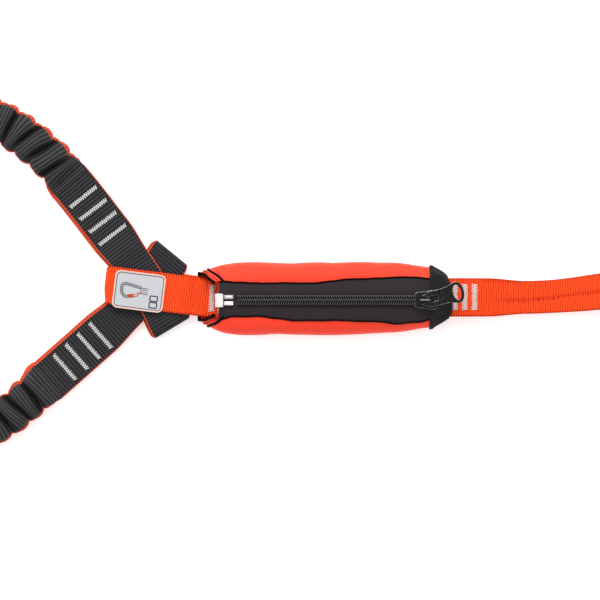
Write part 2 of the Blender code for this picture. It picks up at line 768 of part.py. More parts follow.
def make_tacks(prefix, arm, places, thread):
    z = 4.3 * MM + ARM_THICK / 2 + GAP + 0.25 * MM
    for i, s in enumerate(places):
        spot, across = arm.at(s, z)
        make_bar_tack(f"{prefix}_{i + 1}", spot, across, TACK_LENGTH, thread)


def make_core_stitch(name, arm, s, finish):
    """The dark row of stitches that holds an end of the rubber core."""
    z = 4.3 * MM + ARM_THICK / 2 + GAP + 0.2 * MM
    path = [arm.at(s - 0.4 * MM, z), arm.at(s + 0.4 * MM, z)]
    strip(name, path, 20.0 * MM, 0.4 * MM, finish)


def make_arm(label, arm, low, high, finishes):
    webbing, rubber, thread, dark = finishes
    path = [arm.drawn_in(s, z) for s, z in near_eye_profile(low, high)]
    strip(f"{label}_eye", path, ARM_WIDTH, ARM_THICK, webbing)
    make_tacks(f"{label}_tack", arm, [s * MM for s in NEAR_TACKS], thread)
    make_core_stitch(f"{label}_core_stitch", arm, SLEEVE_START - 4.5 * MM, dark)
    make_sleeve(f"{label}_sleeve", arm, webbing)
    make_core(f"{label}_core", arm, rubber)
    make_core_stitch(f"{label}_end_core_stitch", arm, SLEEVE_END + 4.5 * MM, dark)
    path = [arm.at(s, z) for s, z in end_eye_profile()]
    strip(f"{label}_end_eye", path, ARM_WIDTH, ARM_THICK, webbing)
    make_tacks(f"{label}_end_tack", arm, [SLEEVE_END + s * MM for s in END_TACKS], thread)


# ---------------------------------------------------------------- build


def place_origins(arms):
    shell = ("pouch_panel_{}", "mouth_binding_{}", "zip_tape_{}", "zip_coil_{}")
    put_origin([name.format("upper") for name in shell] + ["zip_insertion_pin"], FLAP_UPPER_HINGE)
    lower = [name.format("lower") for name in shell]
    put_origin(lower + ["zip_retainer_box", "zip_box_pin"], FLAP_LOWER_HINGE)
    put_origin(["slider_body", "slider_crown"], Vector((SLIDER_LEFT, 0.0, TAPE_Z)))
    put_origin(["rest_loop_webbing", "rest_label", "rest_label_border"], crossing_point(REST_HINGE, 0.0, STRAP_Z))
    tacks = [f"harness_tack_{i + 1}" for i in range(len(HARNESS_TACKS))]
    put_origin(tacks + ["harness_strap_lead", "harness_eye_webbing"], Vector((HARNESS_SPLIT, PACK_Y, STRAP_Z)))
    for label, arm in arms.items():
        near = [f"{label}_tack_{i + 1}" for i in range(len(NEAR_TACKS))]
        put_origin(near + [f"{label}_eye", f"{label}_core_stitch"], CROSSING)
        put_origin([f"{label}_sleeve", f"{label}_core"], arm.at(SLEEVE_START, 4.3 * MM)[0])
        far = [f"{label}_end_tack_{i + 1}" for i in range(len(END_TACKS))]
        put_origin(far + [f"{label}_end_eye", f"{label}_end_core_stitch"], arm.at(SLEEVE_END, 4.3 * MM)[0])


def build():
    webbing = material("orange_webbing", ORANGE_WEB, 0.8)
    thread = material("white_thread", THREAD, 0.7)
    make_pouch()
    make_zip_box()
    make_puller(make_slider())
    make_rest_loop(webbing, thread)
    make_rest_label()
    make_pack(webbing)
    make_pack_extras()
    make_harness_straps(webbing, thread)
    finishes = (
        material("arm_webbing", BLACK_WEB, 0.85),
        material("rubber_core", (0.60, 0.56, 0.48), 0.6),
        thread,
        material("dark_thread", (0.04, 0.04, 0.045), 0.8),
    )
    upper = Arm(1, *UPPER_ARM_WAY)
    lower = Arm(-1, *LOWER_ARM_WAY)
    make_arm("upper_arm", upper, UPPER_ARM_LOW, UPPER_ARM_HIGH, finishes)
    make_arm("lower_arm", lower, LOWER_ARM_LOW, LOWER_ARM_HIGH, finishes)
    bpy.context.view_layer.update()
    place_origins({"upper_arm": upper, "lower_arm": lower})


clear_scene()
PARTS = new_collection("shock_absorbing_lanyard")
HELPERS = new_collection("helpers")
build()
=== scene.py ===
"""Looks for the shock absorbing lanyard: webbing, gathered sleeves, pouch cloth, zip, metalwork and label.

Each piece is built along the same centre lines as the CAD, in the row frame, and rides or bends with the
CAD bodies.
"""

import contextlib
import json
import math

import bmesh
import bpy
import numpy as np
from mathutils import Matrix, Vector, noise


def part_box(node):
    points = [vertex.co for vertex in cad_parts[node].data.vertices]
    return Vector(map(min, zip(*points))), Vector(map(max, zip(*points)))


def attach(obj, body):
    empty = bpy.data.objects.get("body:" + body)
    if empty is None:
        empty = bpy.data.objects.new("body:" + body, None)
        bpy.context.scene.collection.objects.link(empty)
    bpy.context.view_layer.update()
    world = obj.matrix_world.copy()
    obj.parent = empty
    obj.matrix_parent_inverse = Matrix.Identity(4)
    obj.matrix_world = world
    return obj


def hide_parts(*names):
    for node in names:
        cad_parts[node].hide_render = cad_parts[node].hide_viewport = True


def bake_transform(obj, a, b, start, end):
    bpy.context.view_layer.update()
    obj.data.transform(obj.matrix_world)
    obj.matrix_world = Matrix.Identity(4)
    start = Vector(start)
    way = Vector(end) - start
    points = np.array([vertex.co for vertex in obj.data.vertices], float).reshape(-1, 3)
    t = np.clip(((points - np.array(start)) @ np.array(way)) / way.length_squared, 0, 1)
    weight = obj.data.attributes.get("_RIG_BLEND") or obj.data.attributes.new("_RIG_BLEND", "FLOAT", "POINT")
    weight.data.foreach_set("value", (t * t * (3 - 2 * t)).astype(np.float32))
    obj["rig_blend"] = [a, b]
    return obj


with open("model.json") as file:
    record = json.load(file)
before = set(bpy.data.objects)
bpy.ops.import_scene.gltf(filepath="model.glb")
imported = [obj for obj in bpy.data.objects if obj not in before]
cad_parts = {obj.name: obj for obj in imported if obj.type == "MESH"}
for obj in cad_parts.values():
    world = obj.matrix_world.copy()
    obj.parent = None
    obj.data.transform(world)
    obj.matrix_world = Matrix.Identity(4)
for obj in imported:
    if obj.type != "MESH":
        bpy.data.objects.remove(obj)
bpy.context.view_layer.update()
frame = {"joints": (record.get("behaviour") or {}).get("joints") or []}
MM = 0.001
TAU = 2 * math.pi
FORWARD, SIDEWAYS, UP = np.eye(3)
RNG = np.random.default_rng(7)


def node_box(name):
    low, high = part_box(name)
    return np.array(low), np.array(high)


# ---------------------------------------------------------------- materials


class Mat:
    """A Principled material with short calls for its nodes."""

    def __init__(self, name, roughness=0.8, metallic=0.0, sheen=0.0, shine=0.15):
        self.made = bpy.data.materials.new(name)
        self.made.use_nodes = True
        self.nodes = self.made.node_tree.nodes
        self.links = self.made.node_tree.links
        self.shader = self.nodes["Principled BSDF"]
        self.shader.inputs["Roughness"].default_value = roughness
        self.shader.inputs["Metallic"].default_value = metallic
        self.shader.inputs["Specular IOR Level"].default_value = shine
        if sheen:
            self.shader.inputs["Sheen Weight"].default_value = sheen
            self.shader.inputs["Sheen Roughness"].default_value = 0.45
        self.where = None

    def plug(self, value, socket):
        if isinstance(value, bpy.types.NodeSocket):
            self.links.new(value, socket)
        else:
            socket.default_value = value

    def coordinate(self):
        if self.where is None:
            self.where = self.nodes.new("ShaderNodeTexCoord").outputs["Object"]
        return self.where

    def attribute(self, name):
        node = self.nodes.new("ShaderNodeAttribute")
        node.attribute_name = name
        return node.outputs["Fac"]

    def times(self, a, b):
        return self.math("MULTIPLY", a, b)

    def plus(self, a, b):
        return self.math("ADD", a, b)

    def math(self, operation, a, b=0.0):
        node = self.nodes.new("ShaderNodeMath")
        node.operation = operation
        self.plug(a, node.inputs[0])
        self.plug(b, node.inputs[1])
        return node.outputs[0]

    def noise(self, size, detail=3.0, rough=0.6, stretch=(1.0, 1.0, 1.0)):
        """Noise with features about size metres across, stretched along the axes by the given factors."""
        mapping = self.nodes.new("ShaderNodeMapping")
        mapping.inputs["Scale"].default_value = stretch
        self.links.new(self.coordinate(), mapping.inputs["Vector"])
        node = self.nodes.new("ShaderNodeTexNoise")
        node.inputs["Scale"].default_value = 1.0 / size
        node.inputs["Detail"].default_value = detail
        node.inputs["Roughness"].default_value = rough
        self.links.new(mapping.outputs[0], node.inputs["Vector"])
        return node.outputs["Fac"]

    def wave(self, value, pitch, sharp=1.0):
        """|sin| ridges of the given pitch along a coordinate in metres: 1 on a ridge, 0 in a groove."""
        turned = self.times(value, math.pi / pitch)
        ridge = self.math("ABSOLUTE", self.math("SINE", turned))
        return self.math("POWER", ridge, sharp)

    def split(self, vector):
        node = self.nodes.new("ShaderNodeSeparateXYZ")
        self.links.new(vector, node.inputs[0])
        return node.outputs

    def ramp(self, value, stops):
        node = self.nodes.new("ShaderNodeValToRGB")
        elements = node.color_ramp.elements
        while len(elements) < len(stops):
            elements.new(0.5)
        for element, (place, colour) in zip(elements, stops):
            element.position = place
            element.color = (*colour, 1.0)
        self.plug(value, node.inputs[0])
        return node.outputs[0]

    def mix(self, share, a, b):
        node = self.nodes.new("ShaderNodeMix")
        node.data_type = "RGBA"
        self.plug(share, node.inputs["Factor"])
        for value, socket in ((a, node.inputs[6]), (b, node.inputs[7])):
            self.plug(value if isinstance(value, bpy.types.NodeSocket) else (*value, 1.0), socket)
        return node.outputs[2]

    def bump(self, height, depth, strength=0.6):
        node = self.nodes.new("ShaderNodeBump")
        node.inputs["Strength"].default_value = strength
        node.inputs["Distance"].default_value = depth
        self.plug(height, node.inputs["Height"])
        return node.outputs[0]

    def finish(self, colour, normal=None, roughness=None):
        self.plug(colour, self.shader.inputs["Base Color"])
        if normal is not None:
            self.links.new(normal, self.shader.inputs["Normal"])
        if roughness is not None:
            self.plug(roughness, self.shader.inputs["Roughness"])
        return self.made


NOTHING = (0.0, 0.0, 0.0)


def scaled(colour, factor):
    return tuple(min(c * factor, 1.0) for c in colour)


def webbing(name, colour, pitch, dark, fade, light=1.25, shade_colour=None, rim_groove_shade=1.5):
    """Ribbed webbing. The ribs are in the mesh, and this adds the yarns, the wear and painted light: painted
    shade in the grooves, darker still near the rim and in creases, and painted highlights on the rib crests.
    """
    m = Mat(name, 0.72)
    along = m.attribute("along")
    across = m.attribute("across")
    ridge = m.wave(along, pitch, 0.8)
    yarn = m.wave(across, 0.0011, 0.6)
    fibre = m.noise(0.0007, 4.0, 0.7)
    patch = m.noise(0.012, 2.0, 0.5)
    # Painted shade: the colour is darkened in the grooves between the ribs, down to dark times the colour.
    groove = m.ramp(ridge, ((0.0, scaled(colour, dark)), (0.5, scaled(colour, 0.8)), (1.0, colour)))
    # Painted highlight: a narrow bright line on each rib's crest, at light times the colour. The fibre flecks
    # below take the same highlight colour.
    crest_highlight = m.times(yarn, m.wave(along, pitch, 3.5))
    tone = m.mix(crest_highlight, groove, scaled(colour, light))
    wear_and_highlight = m.mix(m.times(patch, fade * 2), tone, scaled(colour, 0.7))
    spots = m.mix(m.times(fibre, 0.3), wear_and_highlight, scaled(colour, light))
    # Painted shade: near the strap's edges the grooves between the ribs are darkened further, nearly to
    # black.
    near_rim = m.ramp(m.attribute("rim"), ((0.86, NOTHING), (0.95, (1.0,) * 3)))
    rim = m.times(near_rim, m.math("SUBTRACT", 1.0, ridge))
    spots = m.mix(m.times(rim, rim_groove_shade), spots, scaled(colour, 0.12))
    # Painted shade in creases and in the crevices between gathered lobes, read from the shade attribute.
    if shade_colour is not None:
        spots = m.mix(m.attribute("shade"), shade_colour, spots)
    height = m.plus(m.times(yarn, 0.7), fibre)
    return m.finish(spots, m.bump(height, 0.00012, 0.7), m.plus(m.times(fibre, 0.2), 0.62))


def woven(name, colour, pitch, light, roughness, wear=0.1, sheen=0.0):
    """Plain woven cloth: warp and weft at the given pitch, from object coordinates."""
    m = Mat(name, roughness, 0.0, sheen)
    x, y, z = m.split(m.coordinate())
    side = m.plus(y, m.times(z, 0.8))
    warp = m.wave(x, pitch, 0.8)
    weft = m.wave(side, pitch, 0.8)
    check = m.times(warp, weft)
    patch = m.noise(0.02, 3.0, 0.5)
    fine = m.noise(0.0006, 3.0, 0.7)
    base = m.ramp(check, ((0.0, scaled(colour, 0.72)), (0.6, colour), (1.0, scaled(colour, light))))
    tone = m.mix(m.times(patch, wear * 2), base, scaled(colour, 0.75))
    tone = m.mix(m.times(fine, 0.18), tone, scaled(colour, 1.3))
    height = m.plus(check, m.times(fine, 0.5))
    normal = m.bump(height, 0.00009, 0.6)
    return m.finish(tone, normal, m.plus(m.times(fine, 0.15), roughness - 0.08))


def thread_material(name, colour, sheen=0.35, shine=0.15):
    m = Mat(name, 0.6, 0.0, sheen, shine)
    twist = m.wave(m.plus(m.attribute("along"), m.times(m.attribute("across"), 0.4)), 0.0005)
    fine = m.noise(0.0008, 3.0)
    tone = m.mix(m.times(twist, 0.6), scaled(colour, 0.62), colour)
    tone = m.mix(m.times(fine, 0.3), tone, scaled(colour, 0.8))
    return m.finish(tone, m.bump(twist, 0.0001, 0.6))


def metal(name, colour, wear_and_highlight, roughness, metallic, amount):
    """Lacquered or plated metal with fine scratches and patches of a second, worn tone. On the edge material,
    the pale tones are a painted highlight along bevels, partly wear.
    """
    m = Mat(name, roughness, metallic)
    scratch = m.noise(0.004, 6.0, 0.75, (1.0, 9.0, 9.0))
    cloud = m.noise(0.003, 3.0, 0.6)
    share = m.ramp(m.times(scratch, cloud), ((0.26, NOTHING), (0.42, (amount,) * 3)))
    tone = m.mix(share, colour, wear_and_highlight)
    normal = m.bump(scratch, 0.00003, 0.5)
    return m.finish(tone, normal, m.plus(m.times(cloud, 0.25), roughness - 0.1))


ORANGE = (0.93, 0.062, 0.008)
BLACK = (0.0062, 0.0060, 0.0066)
ORANGE_RIB = 1.6 * MM
BLACK_RIB = 2.2 * MM

MATS = {
    # For the webbings, dark sets the painted shade in the grooves and light sets the painted highlight on the
    # crests.
    "orange": webbing("orange_webbing", ORANGE, ORANGE_RIB, 0.16, 0.10, 1.12),
    # The folded eye's crease is painted with shade in a dark red.
    "folded": webbing("orange_webbing_folded", ORANGE, ORANGE_RIB, 0.16, 0.10, 1.12, (0.36, 0.012, 0.002)),
    "black": webbing("black_webbing", BLACK, BLACK_RIB, 0.04, 0.3, 9.0),
    # Gathered sleeves: painted shade, near black, in the crevices between the lobes, and bright painted rib
    # highlights.
    "gathers": webbing("gathered_webbing", BLACK, BLACK_RIB, 0.04, 0.15, 13.0, (0.0005,) * 3),
    "back": webbing("orange_back", (0.66, 0.078, 0.030), BLACK_RIB, 0.45, 0.4, rim_groove_shade=0.5),
    "shell": woven("shell_cloth", (0.93, 0.050, 0.020), 0.0009, 1.10, 0.6, sheen=0.12),
    "tape": woven("tape_cloth", (0.022, 0.0175, 0.020), 0.0013, 1.7, 0.75, 0.12),
    "hood": woven("hood_cloth", (0.0125, 0.0115, 0.012), 0.0011, 2.6, 0.8, 0.34),
    "coil_base": woven("coil_base", (0.0045, 0.0042, 0.0045), 0.0011, 1.9, 0.8, 0.12),
    "seam": thread_material("seam_cord", (0.010, 0.002, 0.002), 0.0, 0.05),
    "bound": thread_material("binding_cloth", (0.008, 0.0022, 0.0022), 0.0, 0.05),
    "bound_thin": thread_material("binding_stitch", (0.50, 0.030, 0.018), 0.0, 0.05),
    "thread": thread_material("tack_thread", (0.74, 0.72, 0.72)),
    "pink": thread_material("tack_thread_tinted", (0.88, 0.70, 0.66)),
    "dark": thread_material("dark_thread", (0.05, 0.05, 0.055)),
    "silver": metal("plated_metal", (0.80, 0.77, 0.75), (0.45, 0.45, 0.46), 0.34, 0.35, 0.6),
    "steel": metal("plated_metal_grey", (0.42, 0.42, 0.43), (0.25, 0.25, 0.26), 0.34, 0.35, 0.6),
    "lacquer": metal("black_lacquer", (0.007, 0.007, 0.0075), (0.07, 0.07, 0.07), 0.3, 0.0, 0.5),
    # A pale grey on bevelled edges, far lighter than the lacquer: a painted highlight, partly wear.
    "edge": metal("edge_wear_and_highlight", (0.16, 0.155, 0.15), (0.80, 0.79, 0.77), 0.3, 0.5, 1.0),
    "label": woven("label_cloth", (0.50, 0.51, 0.53), 0.0008, 1.05, 0.55, 0.08),
    "border": woven("label_border", (0.80, 0.56, 0.49), 0.0012, 1.1, 0.7),
    "fill": woven("label_fill", (0.26, 0.265, 0.28), 0.0005, 1.3, 0.6),
    "print": woven("label_print", (0.03, 0.03, 0.034), 0.0005, 1.3, 0.6),
    "print_red": woven("label_print_red", (0.40, 0.06, 0.03), 0.0005, 1.3, 0.6),
    "page": woven("page_cloth", (0.80, 0.80, 0.78), 0.0005, 1.05, 0.7),
    "band": webbing("elastic_band", (0.03, 0.03, 0.034), 1.0 * MM, 0.4, 0.1),
}


def coil_material():
    m = Mat("coil_nylon", 0.3, 0.0, 0.0, 0.35)
    fine = m.noise(0.0016, 3.0, 0.7)
    # Painted highlight: the wire is lighter on its top and strongest in rows, from the across attribute that
    # zip_coil paints.
    crest_highlight = m.plus(m.times(m.attribute("across"), 2.2), m.times(fine, 0.35))
    tone = m.ramp(crest_highlight, ((0.50, (0.002, 0.002, 0.002)), (1.0, (0.21, 0.20, 0.20))))
    return m.finish(tone, m.bump(fine, 0.00004, 0.4), m.plus(m.times(fine, 0.3), 0.2))


def rubber_material():
    m = Mat("rubber_strands", 0.55)
    ridge = m.wave(m.attribute("across"), 0.0011, 0.6)
    fine = m.noise(0.0015, 4.0)
    tone = m.mix(m.times(fine, 0.5), (0.60, 0.55, 0.45), (0.42, 0.38, 0.30))
    return m.finish(m.mix(ridge, (0.22, 0.19, 0.14), tone), m.bump(ridge, 0.0003, 0.8))


MATS["coil"] = coil_material()
MATS["rubber"] = rubber_material()


# ---------------------------------------------------------------- mesh tools


def ease(value, start, end):
    t = np.clip((np.asarray(value, float) - start) / (end - start), 0.0, 1.0)
    return t * t * (3.0 - 2.0 * t)


def wobble(value, size, seed=0.0):
    """Smooth noise in -1 to 1 of one coordinate."""
    return np.array([noise.noise(Vector((v / size, seed, 1.7 * seed))) for v in np.atleast_1d(value)])


def unit(v):
    return v / np.linalg.norm(v, axis=-1, keepdims=True)


def ridges(turns, power):
    """Ridges with grooves between them, one for each whole number of turns: 1 on a ridge, 0 in a groove."""
    return np.abs(np.sin(math.pi * turns)) ** power


def squared(value, power):
    """A cosine or sine to a power with its sign kept, which squares up a round section."""
    return np.sign(value) * np.abs(value) ** power


def line(x, y, z):
    """Points from their coordinates, any of which may be the same for all."""
    return np.stack(np.broadcast_arrays(x, y, z), axis=-1)


def spread(centre, *moves):
    """A ring of points at each point of a line. A move is a direction, and how far the ring's points go."""
    rings = centre[:, None, :]
    for way, far in moves:
        rings = rings + np.broadcast_to(way, centre.shape)[:, None, :] * far[..., None]
    return rings


def looped(points):
    """A closed outline, with its first point again at the end."""
    return np.concatenate([points, points[:1]])


def shown(name, data):
    obj = bpy.data.objects.new(name, data)
    bpy.context.scene.collection.objects.link(obj)
    return obj


@contextlib.contextmanager
def editing(mesh):
    """The mesh's faces and vertices, open for editing and then written back."""
    bm = bmesh.new()
    bm.from_mesh(mesh)
    yield bm
    bm.to_mesh(mesh)
    bm.free()


def paint(obj, label, values):
    """Stores a number at each vertex, for the material to read."""
    layers = obj.data.attributes
    layer = layers.get(label) or layers.new(label, "FLOAT", "POINT")
    layer.data.foreach_set("value", np.asarray(values, np.float32).ravel())


def dress(obj, node=None, body=None):
    """Hides the CAD node a piece stands for and hangs the piece on the body it rides on."""
    if node:
        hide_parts(node)
    if body:
        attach(obj, body)
    return obj


def add_mesh(name, points, faces, mats, slots):
    mesh = bpy.data.meshes.new(name)
    mesh.from_pydata(points.reshape(-1, 3).tolist(), [], faces)
    for key in mats:
        mesh.materials.append(MATS[key])
    if slots is not None:
        mesh.polygons.foreach_set("material_index", np.asarray(slots, np.int32))
    with editing(mesh) as bm:
        bmesh.ops.recalc_face_normals(bm, faces=bm.faces)
    mesh.shade_smooth()
    mesh.set_sharp_from_angle(angle=math.radians(50))
    return shown(name, mesh)


def loft(name, rings, mats, ring_slots=None, along=None, across=None, closed=True, caps=True):
    """Quads between successive rings of points, rings[row, place, xyz]."""
    rows, count = rings.shape[:2]
    last = count if closed else count - 1
    i = np.arange(rows - 1)[:, None] * count
    j = np.arange(last)[None, :]
    k = (j + 1) % count
    quads = np.stack([i + j, i + k, i + count + k, i + count + j], axis=-1).reshape(-1, 4).tolist()
    slots = None
    if ring_slots is not None:
        slots = np.tile(np.asarray(ring_slots)[:last], rows - 1)
    if caps and closed:
        quads += [list(range(count))[::-1], [(rows - 1) * count + n for n in range(count)]]
        if slots is not None:
            slots = np.concatenate([slots, [ring_slots[0], ring_slots[0]]])
    obj = add_mesh(name, rings, quads, mats, slots)
    if along is not None:
        paint(obj, "along", np.broadcast_to(along[:, None], (rows, count)))
        paint(obj, "across", np.broadcast_to(across, (rows, count)))
    return obj


def resample(points, step, rounds=18):
    """A polyline resampled every step and rounded off at its corners."""
    points = np.asarray(points, float)
    gaps = np.linalg.norm(np.diff(points, axis=0), axis=1)
    at = np.concatenate([[0.0], np.cumsum(gaps)])
    count = max(int(at[-1] / step), 4)
    s = np.linspace(0.0, at[-1], count + 1)
    out = np.stack([np.interp(s, at, points[:, k]) for k in range(points.shape[1])], axis=1)
    for _ in range(rounds):
        out[1:-1] = (out[:-2] + 2 * out[1:-1] + out[2:]) / 4
    return out


def lengths(points):
    return np.concatenate([[0.0], np.cumsum(np.linalg.norm(np.diff(points, axis=0), axis=1))])


# The places across a strap's half width where its section has points, close together at the rounded edge.
HALF_EDGE = np.array([0.06, 0.16, 0.28, 0.44, 0.66, 0.88, 0.95, 0.985, 1.0])
EDGE = np.concatenate([-HALF_EDGE[::-1], HALF_EDGE])
ROUNDED = np.sqrt(1.0 - np.clip((np.abs(EDGE) - 0.9) / 0.1, 0, 1) ** 2)
# The whole section, over the top and back underneath, as shares of the half width and half thickness.
SHARES = np.concatenate([EDGE, EDGE[-2:0:-1]])
HEIGHTS = np.concatenate([ROUNDED, -ROUNDED[-2:0:-1]])


def strap(name, centre, across, width, thick, mats, pitch, depth=0.45, trim=0.0, creases=(), chevron=0.0):
    """Ribbed webbing along centre. across is a unit vector, for all points or one for each.

    mats is one material, or two: the outer face first, then the inner face and the edges. trim is the
    share of the outer face's half width, at each edge, that shows the second material.
    """
    rows = len(centre)
    s = lengths(centre)
    across = np.broadcast_to(across, centre.shape)
    tangent = unit(np.gradient(centre, axis=0))
    normal = unit(np.cross(tangent, across))
    if normal[rows // 2 :].mean(axis=0)[2] < 0:
        normal = -normal
    width = np.broadcast_to(np.asarray(width, float), (rows,))
    groove = 1.0 - ridges(s / pitch, 0.65)[:, None]
    shallow = 1.0 - 0.5 * ease(np.abs(SHARES), 0.86, 0.98)
    a = width[:, None] / 2 * (1.0 - 0.012 * groove) * SHARES
    h = thick / 2 * (1.0 - depth * groove * shallow) * HEIGHTS
    shade = np.ones_like(h)
    for depths, places, spread_share in creases:
        near = np.exp(-(((SHARES - places[:, None]) / spread_share) ** 2)) * (HEIGHTS > 0)
        h = h - depths[:, None] * near
        spots = 0.12 + 0.88 * ridges(s / (2 * pitch), 2) * (0.8 + 0.7 * wobble(s, 5 * MM, 4.0))
        fold = np.clip(near * (depths[:, None] / (1.0 * MM)), 0, 1)
        shade = shade * (1.0 - fold * np.clip(spots, 0, 1)[:, None])
    rings = spread(centre, (across, a), (normal, h), (tangent, chevron * np.abs(a)))
    slots = None
    if len(mats) > 1:
        middle = (np.abs(SHARES) + np.abs(np.roll(SHARES, -1))) / 2
        outer = (np.arange(len(SHARES)) < len(EDGE) - 1) & (middle < 1.0 - trim)
        slots = np.where(outer, 0, 1)
    obj = loft(name, rings, mats, slots, s, SHARES * width.mean() / 2)
    paint(obj, "rim", np.broadcast_to(np.abs(SHARES), h.shape))
    paint(obj, "shade", shade)
    return obj


def tube(name, points, radius, mats, sides=6, flat=1.0, up=UP):
    """A round cord or wire along points."""
    points = np.asarray(points, float)
    tangent = unit(np.gradient(points, axis=0))
    side = unit(np.cross(tangent, up) + 1e-9)
    rise = unit(np.cross(side, tangent))
    angle = np.arange(sides) * TAU / sides
    radius = np.broadcast_to(np.asarray(radius, float), (len(points),))[:, None]
    rings = spread(points, (side, np.cos(angle) * radius), (rise, flat * np.sin(angle) * radius))
    return loft(name, rings, mats, None, lengths(points), angle * radius.mean())


def join(name, pieces):
    """One object from several, keeping their materials and attributes."""
    with bpy.context.temp_override(
        active_object=pieces[0], object=pieces[0], selected_objects=pieces, selected_editable_objects=pieces
    ):
        bpy.ops.object.join()
    pieces[0].name = name
    pieces[0].data.name = name
    return pieces[0]


def bevelled(obj, width, segments=2, edge_slot=0, angle=30.0):
    """Rounds an object's edges and applies the result to its mesh. edge_slot is the bevel's material."""
    rounding = obj.modifiers.new("rounding", "BEVEL")
    rounding.width = width
    rounding.segments = segments
    rounding.limit_method = "ANGLE"
    rounding.angle_limit = math.radians(angle)
    rounding.material = edge_slot
    graph = bpy.context.evaluated_depsgraph_get()
    source = obj.evaluated_get(graph)
    mesh = bpy.data.meshes.new_from_object(source, preserve_all_data_layers=True, depsgraph=graph)
    obj.modifiers.clear()
    obj.data = mesh
    return obj


def slab(name, outlines, low, high, mats):
    """A flat plate between two heights from closed outlines: the rim, then the holes."""
    curve = bpy.data.curves.new(name, "CURVE")
    curve.dimensions = "2D"
    curve.fill_mode = "BOTH"
    curve.extrude = (high - low) / 2
    for outline in outlines:
        spline = curve.splines.new("POLY")
        spline.points.add(len(outline) - 1)
        for point, (x, y) in zip(spline.points, outline):
            point.co = (x, y, 0.0, 1.0)
        spline.use_cyclic_u = True
    source = shown(name, curve)
    graph = bpy.context.evaluated_depsgraph_get()
    mesh = bpy.data.meshes.new_from_object(source.evaluated_get(graph))
    bpy.data.objects.remove(source, do_unlink=True)
    with editing(mesh) as bm:
        bmesh.ops.remove_doubles(bm, verts=bm.verts, dist=1e-6)
        bmesh.ops.dissolve_limit(bm, angle_limit=0.01, verts=bm.verts, edges=bm.edges)
        bmesh.ops.translate(bm, verts=bm.verts, vec=(0, 0, (low + high) / 2))
    mesh.materials.clear()
    for key in mats:
        mesh.materials.append(MATS[key])
    return shown(name, mesh)


def block(name, low, high, mats):
    outline = [(low[0], low[1]), (high[0], low[1]), (high[0], high[1]), (low[0], high[1])]
    return slab(name, [outline], low[2], high[2], mats)


def arc(cx, cy, radius, start, end, steps):
    angle = np.radians(np.linspace(start, end, steps + 1))
    return [(cx + radius * c, cy + radius * s) for c, s in zip(np.cos(angle), np.sin(angle))]


def rounded(length, width, radius, steps=6):
    outline = []
    for sx, sy, start in ((1, 1, 0), (-1, 1, 90), (-1, -1, 180), (1, -1, 270)):
        x, y = sx * (length / 2 - radius), sy * (width / 2 - radius)
        outline += arc(x, y, radius, start, start + 90, steps)
    return outline


# ---------------------------------------------------------------- the crossing and the arms


JOINTS = {joint["name"]: joint for joint in frame["joints"]}
CROSSING = np.array([*JOINTS["upper_arm_swing"]["pos_m"][:2], 0.0])
AXIS = JOINTS["rest_loop_bend"]["axis"]
TURN = math.atan2(-AXIS[0], AXIS[1])
REST_HINGE = np.array(JOINTS["rest_loop_bend"]["pos_m"])
STRAP_Z = REST_HINGE[2]
# The middles of a doubled strap's two plies.
STRAP_LOW, STRAP_HIGH = STRAP_Z - 0.9 * MM, STRAP_Z + 0.95 * MM
STRAP_THICK = 1.6 * MM
TACK_FACE = STRAP_HIGH + 0.92 * MM
HINGE_ALONG = float(np.linalg.norm((REST_HINGE - CROSSING)[:2]))
ALONG = np.array([math.cos(TURN), math.sin(TURN), 0.0])
ACROSS = np.array([-math.sin(TURN), math.cos(TURN), 0.0])
WEB = 25.0 * MM


def crossing(along, across, z):
    along, across, z = (np.asarray(v, float)[..., None] for v in (along, across, z))
    return CROSSING + ALONG * along + ACROSS * across + UP * z


class Arm:
    """The centre line of an arm by distance from the crossing."""

    def __init__(self, side, slope, eye_slope, straight, settle, final, lean=0.0):
        self.side = side
        self.lean = lean
        fine = np.arange(-40.0, 520.0, 0.5) * MM
        angle = slope + (eye_slope - slope) * (1.0 - ease(fine, -10 * MM, 46 * MM))
        angle = np.radians(angle + (final - slope) * ease(fine, straight * MM, settle * MM))
        self.s = fine
        self.ways = np.stack([-np.cos(angle), side * np.sin(angle), np.zeros_like(angle)], axis=1)
        steps = (self.ways[:-1] + self.ways[1:]) / 2 * 0.5 * MM
        self.spots = np.concatenate([[[0.0, 0.0, 0.0]], np.cumsum(steps, axis=0)])
        self.spots += CROSSING - self.spots[80]

    def pick(self, table, s):
        return np.stack([np.interp(s, self.s, table[:, k]) for k in range(3)], axis=-1)

    def centre(self, s, z=0.0):
        s = np.asarray(s, float)
        aside = self.lean * (1.5 - 0.5 * ease(s, -28 * MM, 4 * MM)) * (1.0 - ease(s, 110 * MM, 230 * MM))
        rise = np.asarray(z, float)[..., None] * UP
        return self.pick(self.spots, s) - self.across(s) * aside[..., None] + rise

    def way(self, s):
        return unit(self.pick(self.ways, s))

    def across(self, s):
        """Unit vector across the arm, towards the far side from the other arm's."""
        return np.cross(UP, self.way(s)) * -self.side


ARMS = {"upper": Arm(1, 52.5, 59.0, 60, 240, 3.0), "lower": Arm(-1, 41.5, 50.7, 100, 180, 3.0, 3.0 * MM)}
# The middles of each eye's lower and upper ply where the arms cross.
HEIGHTS_AT_CROSSING = {"upper": (0.75 * MM, 7.9 * MM), "lower": (2.45 * MM, 6.15 * MM)}
ARM_WIDTH = 28.0 * MM
ARM_THICK = 1.4 * MM
SLEEVE_START = 89.0 * MM
PUCKERS = 21
PUCKER = 12.9 * MM
SLEEVE_END = SLEEVE_START + PUCKERS * PUCKER
ROOT_END = SLEEVE_START + 15.0 * MM
